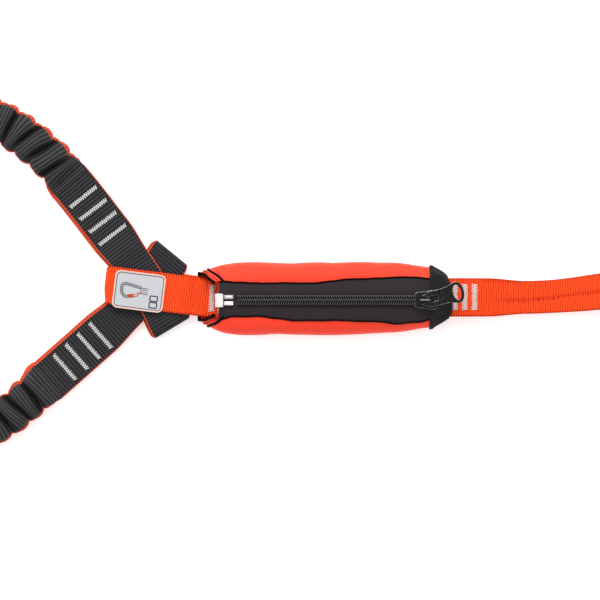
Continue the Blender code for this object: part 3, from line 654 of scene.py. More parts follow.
# The middles of the two plies where they are sewn together, and the top of the upper one.
SEAM_LOW, SEAM_HIGH = 2.6 * MM, 4.3 * MM
SEAM_FACE = SEAM_HIGH + ARM_THICK / 2 + 0.12 * MM
RIBS_A_PUCKER = 6.0


def arm_strap(name, arm, profile, width_at, tipped, trim=0.05):
    path = resample(profile, BLACK_RIB / 6)
    s, z = path[:, 0], path[:, 1]
    run = lengths(path)
    tip = run[np.argmax(s * tipped)]
    under = 1.0 - ease(run, tip - 6 * MM, tip + 6 * MM)
    drift = under * 1.7 * MM
    centre = arm.centre(s, z) - arm.across(s) * drift[:, None]
    width = width_at(s) - 1.6 * MM * (1.0 - ease(np.abs(run - tip), 0.0, 4.5 * MM))
    return strap(name, centre, arm.across(s), width, ARM_THICK, ["black", "back"], BLACK_RIB, 0.6, trim)


def near_eye(label, arm):
    low, high = HEIGHTS_AT_CROSSING[label]
    radius, middle = (high - low) / 2, (high + low) / 2
    start = -28.0 * MM + radius + ARM_THICK / 2
    end = SLEEVE_START - 0.2 * MM
    profile = [(end, SEAM_LOW), (42 * MM, SEAM_LOW), (36 * MM, (SEAM_LOW + low) / 2)]
    profile += [(29 * MM, low), (-12 * MM, low)] + arc(start, middle, radius, 270, 90, 10)
    profile += [(-12 * MM, high), (29 * MM, high), (36 * MM, (SEAM_HIGH + high) / 2)]
    profile += [(42 * MM, SEAM_HIGH), (end, SEAM_HIGH)]

    def width_at(s):
        bunched = ease(s, -26 * MM, -6 * MM) * (1.0 - ease(s, 22 * MM, 44 * MM))
        return ARM_WIDTH * (1.0 - 0.11 * bunched)

    obj = arm_strap(f"{label}_arm_eye_webbing", arm, profile, width_at, -1)
    dress(obj, f"{label}_arm_eye", f"{label}_arm_eye")


def end_eye(label, arm):
    start = SLEEVE_END + 0.2 * MM
    radius, middle = 3.9 * MM, 4.7 * MM
    end = SLEEVE_END + 108.0 * MM - radius - ARM_THICK / 2
    seam = SLEEVE_END + 48 * MM
    profile = [(start, SEAM_LOW), (seam, SEAM_LOW), (seam + 14 * MM, SEAM_LOW - 1.2 * MM)]
    profile += [(seam + 28 * MM, middle - radius)] + arc(end, middle, radius, -90, 90, 10)
    profile += [(seam + 28 * MM, middle + radius), (seam + 14 * MM, SEAM_HIGH + 2.6 * MM)]
    profile += [(seam, SEAM_HIGH), (start, SEAM_HIGH)]
    obj = arm_strap(f"{label}_arm_end_webbing", arm, profile, lambda s: np.full_like(s, ARM_WIDTH), 1)
    dress(obj, f"{label}_arm_end_eye", f"{label}_arm_end")


def sleeve_shape(s, seed):
    """The gathered sleeve's half width, half height, centre height, fullness, pucker count and unevenness."""
    inside = np.maximum(np.minimum(s - SLEEVE_START, SLEEVE_END - s), 0.0)
    full = ease(inside, 0.0, 10 * MM)
    phase = (s - SLEEVE_START) / PUCKER + 0.16 * wobble(s, 23 * MM, seed)
    uneven = 1.0 + 0.22 * wobble(s, 17 * MM, seed + 5.0)
    half_width = 13.9 * MM - full * (4.0 * MM - 2.7 * MM * ridges(phase, 0.55) * uneven)
    half_height = 1.0 * MM + full * 5.3 * MM
    centre = 4.3 * MM + 2.5 * MM * full
    return (v[:, None] for v in (half_width, half_height, centre, full, phase, uneven))


def sleeve_part(name, arm, seed, start, end):
    """Part of a sleeve: the black gathered tube, and the orange back that shows along both edges."""
    s = np.arange(start, end + 1e-6, (end - start) / round((end - start) / (0.36 * MM)))
    half_width, half_height, centre, full, phase, uneven = sleeve_shape(s, seed)

    def vary(size, shift):
        return wobble(s, size, seed + shift)[:, None]

    angle = np.arange(56) * TAU / 56
    wide = squared(np.cos(angle), 0.85)
    tall = squared(np.sin(angle), 0.8)
    slant = 0.10 + 0.46 * vary(14 * MM, 11.0)
    bow = 0.22 * vary(19 * MM, 17.0)
    local = phase + full * (slant * wide + bow * (wide**2 - 0.4))
    handed = np.sign(wobble(phase[:, 0], 1.0, seed + 23.0))[:, None]
    across_share = 0.5 + 0.5 * np.tanh(2.2 * wide * handed + 1.5)
    lobe = 1.0 - (1.0 - ridges(local, 0.62)) * (0.45 + 0.55 * across_share)
    facing = np.clip(tall * 1.6, 0, 1)
    groove = 1.0 - ridges(RIBS_A_PUCKER * local, 0.8)
    crown = 1.0 - full * facing * (0.66 * (1.0 - lobe * np.minimum(uneven, 1.1)))
    cut = 0.55 * MM * groove * facing * ease(s, SLEEVE_START, SLEEVE_START + 4 * MM)[:, None]
    z = np.maximum(centre + half_height * tall * crown - cut, 0.35 * MM)
    reach = half_width * wide * (1.0 - 0.012 * groove)
    turn = math.pi * local
    push = 0.9 * MM * full * facing * np.cos(turn) * np.sign(np.sin(turn)) * (1.0 - lobe)
    rings = spread(arm.centre(s), (arm.across(s), reach), (UP, z), (arm.way(s), -push))
    black = loft(name, rings, ["gathers", "back"], np.where(tall < -0.25, 1, 0), s, angle * 10 * MM)
    paint(black, "along", local * RIBS_A_PUCKER * BLACK_RIB)
    paint(black, "shade", 1.0 - full * (1.0 - np.clip(lobe * 2.3 - 1.15, 0, 1)))

    bumps = ridges(phase + 0.32, 0.8)
    into_sleeve = (s - SLEEVE_START)[:, None]
    step = (1.0 - ease(into_sleeve, 0.0, 12 * MM)) * 1.7 * MM
    if arm.side > 0:
        outer = full * (0.7 * MM + 1.5 * MM * bumps)
        inner = full * (0.2 * MM + 0.6 * MM * bumps)
    else:
        first = ease(into_sleeve, -4 * MM, 6 * MM) * (1.0 - ease(into_sleeve, 14 * MM, 30 * MM))
        outer = full * (0.5 * MM + 0.5 * MM * bumps)
        inner = full * (0.4 * MM + 0.4 * MM * bumps) + 1.7 * MM * first
    outer, inner = outer + 0.1 * MM - step * 0.6, inner + 0.1 * MM + step
    half = half_width + np.where(SHARES > 0, outer, inner)
    ribbed = 1.0 - 0.35 * (1.0 - ridges(s / BLACK_RIB, 0.8)[:, None])
    h = 2.9 * MM + full * (1.5 * MM * bumps + 0.5 * MM * vary(9 * MM, 3.0)) + 0.75 * MM * HEIGHTS * ribbed
    rings = spread(arm.centre(s), (arm.across(s), half * SHARES), (UP, h))
    back = loft(name + "_back", rings, ["back"], None, s, SHARES * 14 * MM)
    return join(name, [black, back])


def sleeve(label, arm, seed):
    eye, gathers = f"{label}_arm_eye", f"{label}_arm_sleeve"
    root = sleeve_part(f"{gathers}_root", arm, seed, SLEEVE_START - 1.2 * MM, ROOT_END)
    dress(root)
    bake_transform(root, eye, gathers, arm.centre(SLEEVE_START, 5 * MM), arm.centre(ROOT_END, 5 * MM))
    main = sleeve_part(f"{gathers}_gathers", arm, seed, ROOT_END, SLEEVE_END)
    stretch_blend(dress(main, gathers), label, arm)
    s = np.linspace(SLEEVE_START + 16 * MM, SLEEVE_END - 16 * MM, 60)
    middle = arm.centre(s, np.full_like(s, 6.4 * MM))
    core = strap(f"{label}_arm_rubber", middle, arm.across(s), 12 * MM, 2.4 * MM, ["rubber"], 5 * MM, 0.05)
    stretch_blend(dress(core, f"{label}_arm_core"), label, arm)


def stretch_blend(obj, label, arm):
    """Stretches along the way the arm's end slides. The weights run from the root's end to the far end."""
    way = np.array(JOINTS[f"{label}_arm_stretch"]["axis"])
    first, last = arm.centre(ROOT_END), arm.centre(SLEEVE_END)
    reach = float((last - first) @ way)
    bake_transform(obj, f"{label}_arm_sleeve", f"{label}_arm_end", first, first + way * reach)


# ---------------------------------------------------------------- stitches


def bar_tack(node, body, centre, across, length, width, mat, peaks=14, radius=0.3 * MM):
    """A zigzag row of thread. centre is on the webbing's face."""
    along = np.cross(across, UP)
    turns = 2 * peaks + 1
    u = np.linspace(-0.5, 0.5, turns)
    swing = np.where(np.arange(turns) % 2, 1.0, -1.0) * (1.0 + 0.07 * RNG.standard_normal(turns))
    points = centre + across * (u * length)[:, None] + along * (swing * width / 2)[:, None]
    fine = resample(points, 0.34 * MM, 1)
    fine[:, 2] += 0.06 * MM * wobble(np.arange(len(fine)), 3.0, float(abs(centre[0]) * 900 % 7))
    name = node.replace("tack", "bar_tack") if "tack" in node else f"{node}_row"
    obj = tube(name, fine, radius, [mat], 6, 0.75)
    dress(obj, node, body)


def arm_stitches(label, arm):
    """Four bar tacks on each sewn end of an arm, then the dark row on each that holds the rubber."""
    near, far = f"{label}_arm_eye", f"{label}_arm_end"
    for prefix, body, first in ((f"{label}_arm", near, 44.0 * MM), (far, far, SLEEVE_END + 12.0 * MM)):
        for i in range(4):
            s = first + i * 10.3 * MM
            spot, across = arm.centre(s, SEAM_FACE), arm.across(s)
            bar_tack(f"{prefix}_tack_{i + 1}", body, spot, across, 21.5 * MM, 2.9 * MM, "thread")
    inset = 4.5 * MM
    for prefix, body, s in ((f"{label}_arm", near, SLEEVE_START - inset), (far, far, SLEEVE_END + inset)):
        spot, across = arm.centre(s, SEAM_FACE), arm.across(s)
        bar_tack(f"{prefix}_core_stitch", body, spot, across, 20 * MM, 1.5 * MM, "dark", 11, 0.24 * MM)


# ---------------------------------------------------------------- rest loop and harness strap


def rest_straps():
    rest_loop()
    rest_lead()


def rest_loop():
    """The loop that carries both arms. It closes up into the doubled strap at the pouch's mouth."""
    high, low = 9.75 * MM, 4.3 * MM
    end = HINGE_ALONG
    profile = [(end + 9 * MM, STRAP_LOW), (end - 1 * MM, STRAP_LOW), (end - 5 * MM, low + 0.5 * MM)]
    profile += [(end - 9 * MM, low), (0.0, low)]
    profile += arc(-27.0 * MM, (high + low) / 2, (high - low) / 2, 270, 90, 10)
    profile += [(0.0, high), (end - 9 * MM, high + 0.2 * MM), (end - 5 * MM, high - 0.1 * MM)]
    profile += [(end - 1 * MM, STRAP_HIGH), (end + 9 * MM, STRAP_HIGH)]
    path = resample(profile, ORANGE_RIB / 6)
    run = lengths(path)
    tip = run[np.argmin(path[:, 0])]
    pinch = 2.2 * MM * (1.0 - ease(np.abs(run - tip), 0.0, 6 * MM))
    width = WEB * (1.0 + 0.004 * wobble(run, 14 * MM, 3.0)) - pinch
    drift = 0.9 * MM * (1.0 - ease(run, tip - 8 * MM, tip + 8 * MM))
    centre = crossing(path[:, 0], drift, path[:, 1])
    loop = strap("rest_loop_strap", centre, ACROSS, width, STRAP_THICK, ["orange"], ORANGE_RIB)
    for vert in loop.data.vertices:
        offset = np.array(vert.co) - CROSSING
        near_end = 1.0 - float(ease(offset @ ALONG, -28 * MM, -14 * MM))
        lower_share = min(max(-(offset @ ACROSS) / (12.5 * MM), 0.0), 1.0)
        vert.co += Vector(ALONG * near_end * (2.3 * MM * lower_share**1.5))
    dress(loop, "rest_loop_webbing")
    ends = crossing(end + 8 * MM, 0.0, STRAP_Z), crossing(end - 4 * MM, 0.0, STRAP_Z)
    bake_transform(loop, "absorber_pouch", "rest_loop", *ends)


def rest_lead():
    """The strap from the loop into the pouch, with its two bar tacks."""
    start = crossing(HINGE_ALONG + 9 * MM, 0.0, 0.0)
    inner = np.array([-54.0 * MM, 0.4 * MM, 0.0])
    points = [start + UP * STRAP_LOW, inner + UP * STRAP_LOW]
    points += [inner + np.array([dx, 0.0, z]) * MM for dx, z in arc(0.0, STRAP_Z / MM, 0.925, -60, 60, 4)]
    points += [inner + UP * STRAP_HIGH, start + UP * STRAP_HIGH]
    path = resample(points, ORANGE_RIB / 5, 6)
    lead = strap("rest_lead_strap", path, ACROSS, WEB, STRAP_THICK, ["orange"], ORANGE_RIB)
    dress(lead, "rest_strap_lead", "absorber_pouch")
    upright = unit(ACROSS + np.array([-0.1, 0.0, 0.0]))
    for name, at in (("outer", 39.5), ("inner", 45.5)):
        spot = crossing(at * MM, 0.0, TACK_FACE)
        node = f"rest_tack_{name}"
        bar_tack(node, "absorber_pouch", spot, upright, 17 * MM, 3.6 * MM, "pink", 11, 0.42 * MM)


HARNESS_SPLIT, HARNESS_Y = JOINTS["harness_eye_bend"]["pos_m"][:2]


def harness_straps():
    harness_lead()
    harness_eye()
    torn_strand()


def harness_lead():
    """The doubled strap out of the pouch, with its three bar tacks."""
    joint, inner = HARNESS_SPLIT - 7 * MM, 49.0 * MM
    points = [(joint, STRAP_LOW), (inner, STRAP_LOW)] + arc(inner, STRAP_Z, 0.925 * MM, 250, 110, 4)
    points += [(inner, STRAP_HIGH), (joint, STRAP_HIGH)]
    path = resample(points, ORANGE_RIB / 6, 6)
    centre = line(path[:, 0], HARNESS_Y, path[:, 1])
    lead = strap("harness_lead_strap", centre, SIDEWAYS, WEB, STRAP_THICK, ["orange"], ORANGE_RIB)
    dress(lead, "harness_strap_lead", "harness_strap")
    for i in range(3):
        spot = np.array([(84.0 + 6.3 * i) * MM, HARNESS_Y + 0.2 * MM, TACK_FACE])
        node = f"harness_tack_{i + 1}"
        bar_tack(node, "harness_strap", spot, SIDEWAYS, 16.5 * MM, 3.9 * MM, "pink", 11, 0.40 * MM)


def harness_eye():
    """The sewn eye. It opens out of the doubled strap, and is creased lengthwise where it leaves the hood."""
    joint = HARNESS_SPLIT - 7 * MM
    last = node_box("harness_eye_webbing")[1][0] - 5.0 * MM
    x = np.concatenate([[joint], np.linspace(HARNESS_SPLIT, last, 9)])
    opening = ease(x, HARNESS_SPLIT + 5 * MM, last - 20 * MM)
    drop = 2.0 * MM * ease(x, HARNESS_SPLIT, last - 40 * MM)
    low = list(zip(x, STRAP_LOW - drop - 3.0 * MM * opening))
    high = list(zip(x, STRAP_HIGH - drop + 3.55 * MM * opening))
    middle, radius = (low[-1][1] + high[-1][1]) / 2, (high[-1][1] - low[-1][1]) / 2
    path = resample(low + arc(last, middle, radius, -90, 90, 10)[1:-1] + high[::-1], ORANGE_RIB / 6)
    x, z = path[:, 0], path[:, 1]
    drift = HARNESS_Y + 10.5 * MM * ease(x, 128 * MM, 250 * MM)
    width = WEB - 3.6 * MM * ease(x, 104 * MM, 130 * MM) + 2.6 * MM * ease(x, 138 * MM, 190 * MM)
    width = width * (1.0 + 0.005 * wobble(x, 16 * MM, 9.0))
    over = ease(np.arange(len(x)), len(x) * 0.48, len(x) * 0.54)
    depths = 1.0 * MM * ease(x, 104 * MM, 122 * MM) * (1.0 - ease(x, 200 * MM, 214 * MM)) * over
    places = -0.22 + 0.20 * ease(x, 120 * MM, 175 * MM) + 0.03 * wobble(x, 9 * MM, 2.0)
    edge_depths = 0.6 * MM * ease(x, 101 * MM, 105 * MM) * (1.0 - ease(x, 124 * MM, 131 * MM)) * over
    creases = ((depths, places, 0.09), (edge_depths, np.full_like(x, 0.88), 0.06))
    eye = strap(
        "harness_eye_strap", line(x, drift, z), SIDEWAYS, width, STRAP_THICK, ["folded"], ORANGE_RIB,
        creases=creases, chevron=0.055,
    )
    dress(eye, "harness_eye_webbing")
    ends = (HARNESS_SPLIT - 6 * MM, HARNESS_Y, STRAP_Z), (HARNESS_SPLIT + 9 * MM, HARNESS_Y, STRAP_Z)
    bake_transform(eye, "harness_strap", "harness_eye", *ends)


def torn_strand():
    """A short strand inside the pouch, which is drawn out as the absorber tears."""
    start, end = 46.2 * MM, 48.6 * MM
    ends = (start, HARNESS_Y, STRAP_Z), (end, HARNESS_Y, STRAP_Z)
    centre = line(np.linspace(start, end, 120), HARNESS_Y, STRAP_Z)
    strand = strap("torn_webbing", centre, SIDEWAYS, WEB * 0.98, 2.6 * MM, ["orange"], 0.8 * MM, 0.1)
    strand.data.materials[0] = tear_material()
    dress(strand)
    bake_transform(strand, "absorber_pouch", "harness_strap", *ends)


def tear_material():
    """The torn webbing's face. Its ribs follow object coordinates and keep their pitch as it pays out."""
    m = Mat("torn_webbing_face", 0.8, 0.0, 0.3)
    x, y, _ = m.split(m.coordinate())
    ridge = m.wave(x, 0.0022, 0.6)
    yarn = m.wave(y, 0.0008, 0.7)
    fuzz = m.noise(0.0008, 5.0, 0.75)
    tone = m.ramp(ridge, ((0.0, scaled(ORANGE, 0.4)), (0.5, scaled(ORANGE, 0.85)), (1.0, ORANGE)))
    tone = m.mix(m.times(fuzz, 0.5), tone, (0.95, 0.36, 0.2))
    tone = m.mix(m.times(yarn, 0.2), tone, scaled(ORANGE, 0.7))
    height = m.plus(ridge, fuzz)
    return m.finish(tone, m.bump(height, 0.0004, 0.8))


# ---------------------------------------------------------------- label


def rest_label():
    low, high = node_box("rest_label")
    centre = (low + high) / 2
    length, width = 32.8 * MM, 24.4 * MM

    def border(inset, radius, steps=6):
        return rounded(length - inset * MM, width - inset * MM, radius * MM, steps)

    inner = slab("label_face", [border(1.6, 2.6)], 0.0, 0.5 * MM, ["label"])
    bevelled(inner, 0.12 * MM)
    rim = slab("label_rim", [border(0.0, 3.4, 10), border(2.0, 2.5, 10)], -0.05 * MM, 0.62 * MM, ["border"])
    bevelled(rim, 0.2 * MM, 3)
    printed = slab("label_line", [border(2.2, 2.4, 8), border(3.1, 2.0, 8)], 0.45 * MM, 0.53 * MM, ["print"])
    stitches = []
    outline = looped(np.array(border(1.0, 2.9, 10)))
    at = lengths(outline)
    for i, s in enumerate(np.arange(0.0, at[-1] - 1.0 * MM, 1.55 * MM)):
        run = s + np.array([0.0, 0.5, 1.0]) * MM
        places = [np.interp(run, at, outline[:, k]) for k in range(2)]
        points = line(*places, np.array([0.62, 0.78, 0.62]) * MM)
        stitches.append(tube(f"label_stitch_{i}", points, 0.2 * MM, ["pink"], 5))
    spot = Vector((centre[0] - 0.6 * MM, centre[1] - 0.9 * MM, low[2]))
    place = Matrix.Translation(spot) @ Matrix.Rotation(TURN, 4, "Z")
    pieces = (
        (inner, "rest_label_face", "label_fabric", "rest_label"),
        (rim, "rest_label_rim", "label_edge", "rest_label_border"),
        (join("label_stitches", stitches), "rest_label_stitches", "label_edge", None),
        (join("label_marks", [printed] + pictogram()), "rest_label_marks", "label_fabric", None),
    )
    for obj, name, slot, node in pieces:
        obj.name = name
        obj.matrix_world = place
        dress(obj, node, "rest_loop")


def stroke(name, points, width, mat, z=0.52 * MM, closed=False):
    """A printed line, as a flat raised ribbon."""
    points = np.array([(x * MM, y * MM) for x, y in points])
    if closed:
        points = looped(points)
    path = resample(line(points[:, 0], points[:, 1], z), 0.35 * MM, 1)
    return tube(name, path, width * MM / 2, [mat], 6, 0.25)


def pictogram():
    """A plain drawing of a connector clipped to a strap, and two empty boxes."""
    body = [(1.4, 3.2), (-8.8, 5.0), (-11.6, 4.4), (-12.6, 2.4), (-12.0, -2.2), (-9.8, -4.9), (-6.8, -5.2)]
    inner = [(1.0, 1.5), (-8.0, 3.1), (-9.8, 2.7), (-10.6, 1.4), (-10.0, -1.6), (-8.4, -3.2), (-6.6, -3.4)]
    gate = [(-6.6, -4.6), (-1.0, -3.4), (1.2, -0.6)]
    gate_inner = [(-6.4, -3.3), (-1.6, -2.2), (0.2, -0.2)]
    middle = [((a + c) / 2, (b + d) / 2) for (a, b), (c, d) in zip(body, inner)]
    marks = [stroke("mark_frame", middle, 1.9, "print"), stroke("mark_fill", middle, 1.15, "fill", 0.80 * MM)]
    marks.append(stroke("mark_gate", gate, 0.6, "print_red"))
    marks.append(stroke("mark_gate_inner", gate_inner, 0.5, "print_red"))
    marks.append(stroke("mark_sleeve", [(-6.9, -3.9), (-3.4, -3.2)], 2.3, "print_red", 0.62 * MM))
    for i, y in enumerate((2.3, 1.1, -0.1, -1.3)):
        width = 0.36 if 0 < i < 3 else 0.5
        marks.append(stroke(f"mark_strap_{i}", [(0.6, y), (5.8, y - 0.3)], width, "print"))
    for i, (low, high) in enumerate((((7.6, -9.6), (12.4, -6.1)), ((7.6, -5.2), (12.4, -2.0)))):
        corners = [low, (high[0], low[1]), high, (low[0], high[1])]
        marks.append(stroke(f"mark_box_{i}", corners, 0.75, "print", closed=True))
    return marks


# ---------------------------------------------------------------- pouch


POUCH_LEFT, POUCH_RIGHT = -82.0 * MM, 69.0 * MM
FOLD = math.radians(3.0)
POWER = 2.4
# How far inside the pouch's outer surface the middle of its cloth lies.
CLOTH_INSET = 0.6 * MM
# The pouch's half width, and how far its middle lies to one side, in millimetres at each station along it.
HALF_WIDTH = ((-82, 15.2), (-76, 18.8), (-67, 22.6), (-52, 24.0), (12, 24.0), (45, 23.0), (69, 19.4))
SIDE_SHIFT = ((-82, 2.2), (-70, 0.8), (-30, 1.0), (69, 1.7))
# How far each zip panel's seam lies from the middle of the zip.
UPPER_SEAM = (
    (-82, 10.4), (-63, 10.6), (-13, 10.8), (0, 12.3), (10, 13.1), (32, 13.9), (48, 14.7), (58, 14.6),
    (69, 13.8),
)
LOWER_SEAM = (
    (-82, 10.0), (-52, 10.3), (-37, 11.9), (-25, 13.1), (10, 13.2), (34, 14.1), (45, 15.3), (58, 14.4),
    (69, 12.6),
)


def stations(x, points):
    """A value along the pouch that eases from each station to the next."""
    xs, vs = np.array(points).T * MM
    x = np.clip(np.asarray(x, float), xs[0], xs[-1])
    i = np.clip(np.searchsorted(xs, x, side="right") - 1, 0, len(xs) - 2)
    t = (x - xs[i]) / (xs[i + 1] - xs[i])
    return vs[i] + (vs[i + 1] - vs[i]) * t * t * (3 - 2 * t)


def section(x, angle, inset=0.0):
    """Points on the pouch's outer surface, as in the CAD."""
    x, angle = np.broadcast_arrays(np.asarray(x, float), np.asarray(angle, float))
    half = stations(x, HALF_WIDTH) - inset
    low = stations(x, ((-82, 1.4), (-70, 0.3), (-56, -0.5), (48, -0.5), (69, 1.5))) + inset
    top = 23.0 * MM - 10.0 * MM * (1.0 - ease(x, POUCH_LEFT, -68.5 * MM)) - inset
    y = stations(x, SIDE_SHIFT) + half * squared(np.cos(angle), 2 / POWER)
    z = (top + low) / 2 + (top - low) / 2 * squared(np.sin(angle), 2 / POWER)
    return line(x, y, np.maximum(z, inset))


def seam_angle(x, side):
    """The angle, round the section, at which the zip panel's seam lies."""
    seam = stations(x, UPPER_SEAM if side > 0 else LOWER_SEAM)
    wanted = seam - side * stations(x, SIDE_SHIFT)
    half = stations(x, HALF_WIDTH) - CLOTH_INSET
    return np.arccos(np.clip(wanted / half, 0.05, 0.95) ** (POWER / 2))


def lifted(angle):
    """The height angle of a place round the section: the same on both sides of the pouch."""
    return np.where(angle > -math.pi / 2, angle, -math.pi - angle)


def mouth_x(height):
    """The mouth's edge runs straight across the top half in plan."""
    bend, highest = 2 / POWER, math.radians(67.0)
    drop = 1.0 - np.cos(np.clip(height, 0.0, highest)) ** bend
    return POUCH_LEFT + 11.0 * MM * drop / (1.0 - math.cos(highest) ** bend)


# An open flap is turned all the way left of here, and the slider stops left of it.
FULLY_OPEN = -32.5 * MM
# How fast the cloth's share of the turn grows with height, fast enough to be nothing at the fold line.
CLOTH_RISE = 0.125 / MM


def cloth_turn(side):
    """The two points between which a flap's cloth turns, to keep up with the zip tape along their seam."""
    x = np.linspace(-40 * MM, 65 * MM, 30)
    drop, height = np.polyfit(x, section(x, seam_angle(x, side), CLOTH_INSET)[:, 2], 1)
    reach = POUCH_RIGHT - FULLY_OPEN
    growth = np.array([-1.0 / reach - CLOTH_RISE * drop, 0.0, CLOTH_RISE])
    start = np.array([0.0, 0.0, height - POUCH_RIGHT / (reach * CLOTH_RISE)])
    return start, start + growth / (growth @ growth)


def flap_blend(obj, side, cloth=False):
    """Opens a flap piece: fixed at the hood, and fully open from the slider's last place to the mouth.

    The cloth also stays at its fold line, and turns as far as the zip tape along their seam. A piece on
    neither side stays with the pouch.
    """
    if side == 0:
        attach(obj, "absorber_pouch")
        return
    start, end = cloth_turn(side) if cloth else ((POUCH_RIGHT, 0.0, 0.0), (FULLY_OPEN, 0.0, 0.0))
    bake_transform(obj, "absorber_pouch", "flap_upper" if side > 0 else "flap_lower", start, end)


# The cloth run is made at this scale, at which its forces behave well.
CLOTH_SCALE = 20.0


def smoothed(values):
    """Each value between the first and the last, averaged with its neighbours on both sides."""
    return (values[:-2] + 2 * values[1:-1] + values[2:]) / 4


def cloth_shell(columns=104, rows=84):
    """The shell as cloth: it is pressed out from inside and held along the seams, the mouth and the hood."""
    v = np.linspace(0.0, 1.0, rows + 1)[:, None]
    u = np.linspace(0.0, 1.0, columns + 1)
    along = POUCH_LEFT + u * (POUCH_RIGHT - POUCH_LEFT)
    first, last = seam_angle(along, 1), -math.pi - seam_angle(along, -1)
    angle = first + v * (last - first)
    start = mouth_x(lifted(angle))
    x = start + u * (POUCH_RIGHT - start)
    points = section(x, angle, CLOTH_INSET)
    for _ in range(40):
        points[1:-1, 1:-1, 1] = smoothed(points[1:-1, :, 1].T).T
    obj = loft("pouch_cloth", points, ["shell"], closed=False)
    obj.data.transform(Matrix.Scale(CLOTH_SCALE, 4))
    held = points[..., 2] < 1.0 * MM
    held[[0, -1], :] = True
    held[:, [0, -1]] = True
    moved = run_cloth(obj, held) / CLOTH_SCALE
    bpy.data.objects.remove(obj, do_unlink=True)
    step = moved.reshape(points.shape) - points
    size = np.linalg.norm(step, axis=-1, keepdims=True)
    step *= np.minimum(1.0, 1.3 * MM / np.maximum(size, 1e-9))
    for _ in range(14):
        step[1:-1] = smoothed(step)
        step[:, 1:-1] = smoothed(step.swapaxes(0, 1)).swapaxes(0, 1)
    calm = ease(x - start, 5 * MM, 15 * MM) * (1.0 - ease(x, POUCH_RIGHT - 10 * MM, POUCH_RIGHT - 2 * MM))
    result = points + step * calm[..., None]
    result[..., 2] = np.maximum(result[..., 2], 0.55 * MM)
    return result, angle


def run_cloth(obj, held, frames=22):
    """Runs the cloth and returns its points at the last frame."""
    group = obj.vertex_groups.new(name="held")
    group.add(np.flatnonzero(held).tolist(), 1.0, "REPLACE")
    cloth = obj.modifiers.new("cloth", "CLOTH")
    settings = cloth.settings
    settings.vertex_group_mass = "held"
    settings.quality = 6
    settings.mass = 0.25
    settings.tension_stiffness = 18
    settings.compression_stiffness = 18
    settings.bending_stiffness = 0.6
    settings.use_pressure = True
    settings.uniform_pressure_force = 1.2
    settings.shrink_min = -0.014
    settings.shrink_max = -0.014
    settings.effector_weights.gravity = 0.0
    cloth.collision_settings.use_collision = False
    cloth.point_cache.frame_start = 1
    cloth.point_cache.frame_end = frames
    for number in range(1, frames + 1):
        bpy.context.scene.frame_set(number)
    result = obj.evaluated_get(bpy.context.evaluated_depsgraph_get()).data
    points = np.empty(len(result.vertices) * 3)
    result.vertices.foreach_get("co", points)
    bpy.context.scene.frame_set(1)
    return points


def thick_sheet(name, points, mats, thick):
    """A grid of points with thickness, half of it on each side."""
    normal = unit(np.cross(np.gradient(points, axis=1), np.gradient(points, axis=0)))
    half = normal * thick / 2
    return loft(name, np.concatenate([points + half, (points - half)[:, ::-1]], axis=1), mats)


def pouch():
    shell, angle = cloth_shell()
    middle = angle[:, angle.shape[1] // 2]
    upper_row = int(np.argmin(np.abs(middle - FOLD)))
    lower_row = int(np.argmin(np.abs(middle + math.pi + FOLD)))
    parts = (
        ("pouch_panel_upper", shell[: upper_row + 1], 1),
        ("pouch_base", shell[upper_row : lower_row + 1], 0),
        ("pouch_panel_lower", shell[lower_row:], -1),
    )
    for node, points, side in parts:
        obj = thick_sheet(f"{node}_cloth", points, ["shell"], 0.9 * MM)
        flap_blend(dress(obj, node), side, cloth=True)
    for side in (1, -1):
        zip_tape(side, shell[0] if side > 0 else shell[-1])
        zip_coil(side)
    mouth_cords()
    hood()


def zip_tape(side, edge):
    """The black panel from the coil to the shell's seam, with the seam cord along it."""
    label = "upper" if side > 0 else "lower"
    x = np.linspace(node_box(f"zip_tape_{label}")[0][0] + 0.3 * MM, POUCH_RIGHT - 0.4 * MM, 170)
    ripple = 0.35 * MM * wobble(x, 13 * MM, 4.0 + side) + 0.12 * MM * wobble(x, 4 * MM, 8.0 + side)
    seam_y = np.interp(x, edge[:, 0], edge[:, 1]) + ripple
    seam_z = np.interp(x, edge[:, 0], edge[:, 2]) + 0.25 * MM
    share = np.linspace(0.0, 1.0, 18)
    inner, level = side * 0.05 * MM, 22.75 * MM
    y = inner + share * (seam_y[:, None] - inner)
    swell = np.sin(math.pi * share)
    z = level + 0.25 * MM * swell + (seam_z[:, None] - level) * share**1.7
    z = z + 0.16 * MM * wobble(x, 9 * MM, 2.0 + side)[:, None] * swell
    points = line(x[:, None], y, z)
    obj = thick_sheet(f"zip_tape_{label}_cloth", points if side < 0 else points[:, ::-1], ["tape"], 0.65 * MM)
    flap_blend(dress(obj, f"zip_tape_{label}"), side)
    seam = tube(f"panel_seam_{label}", line(x, seam_y, seam_z + 0.45 * MM), 0.62 * MM, ["seam"])
    flap_blend(dress(seam), side)


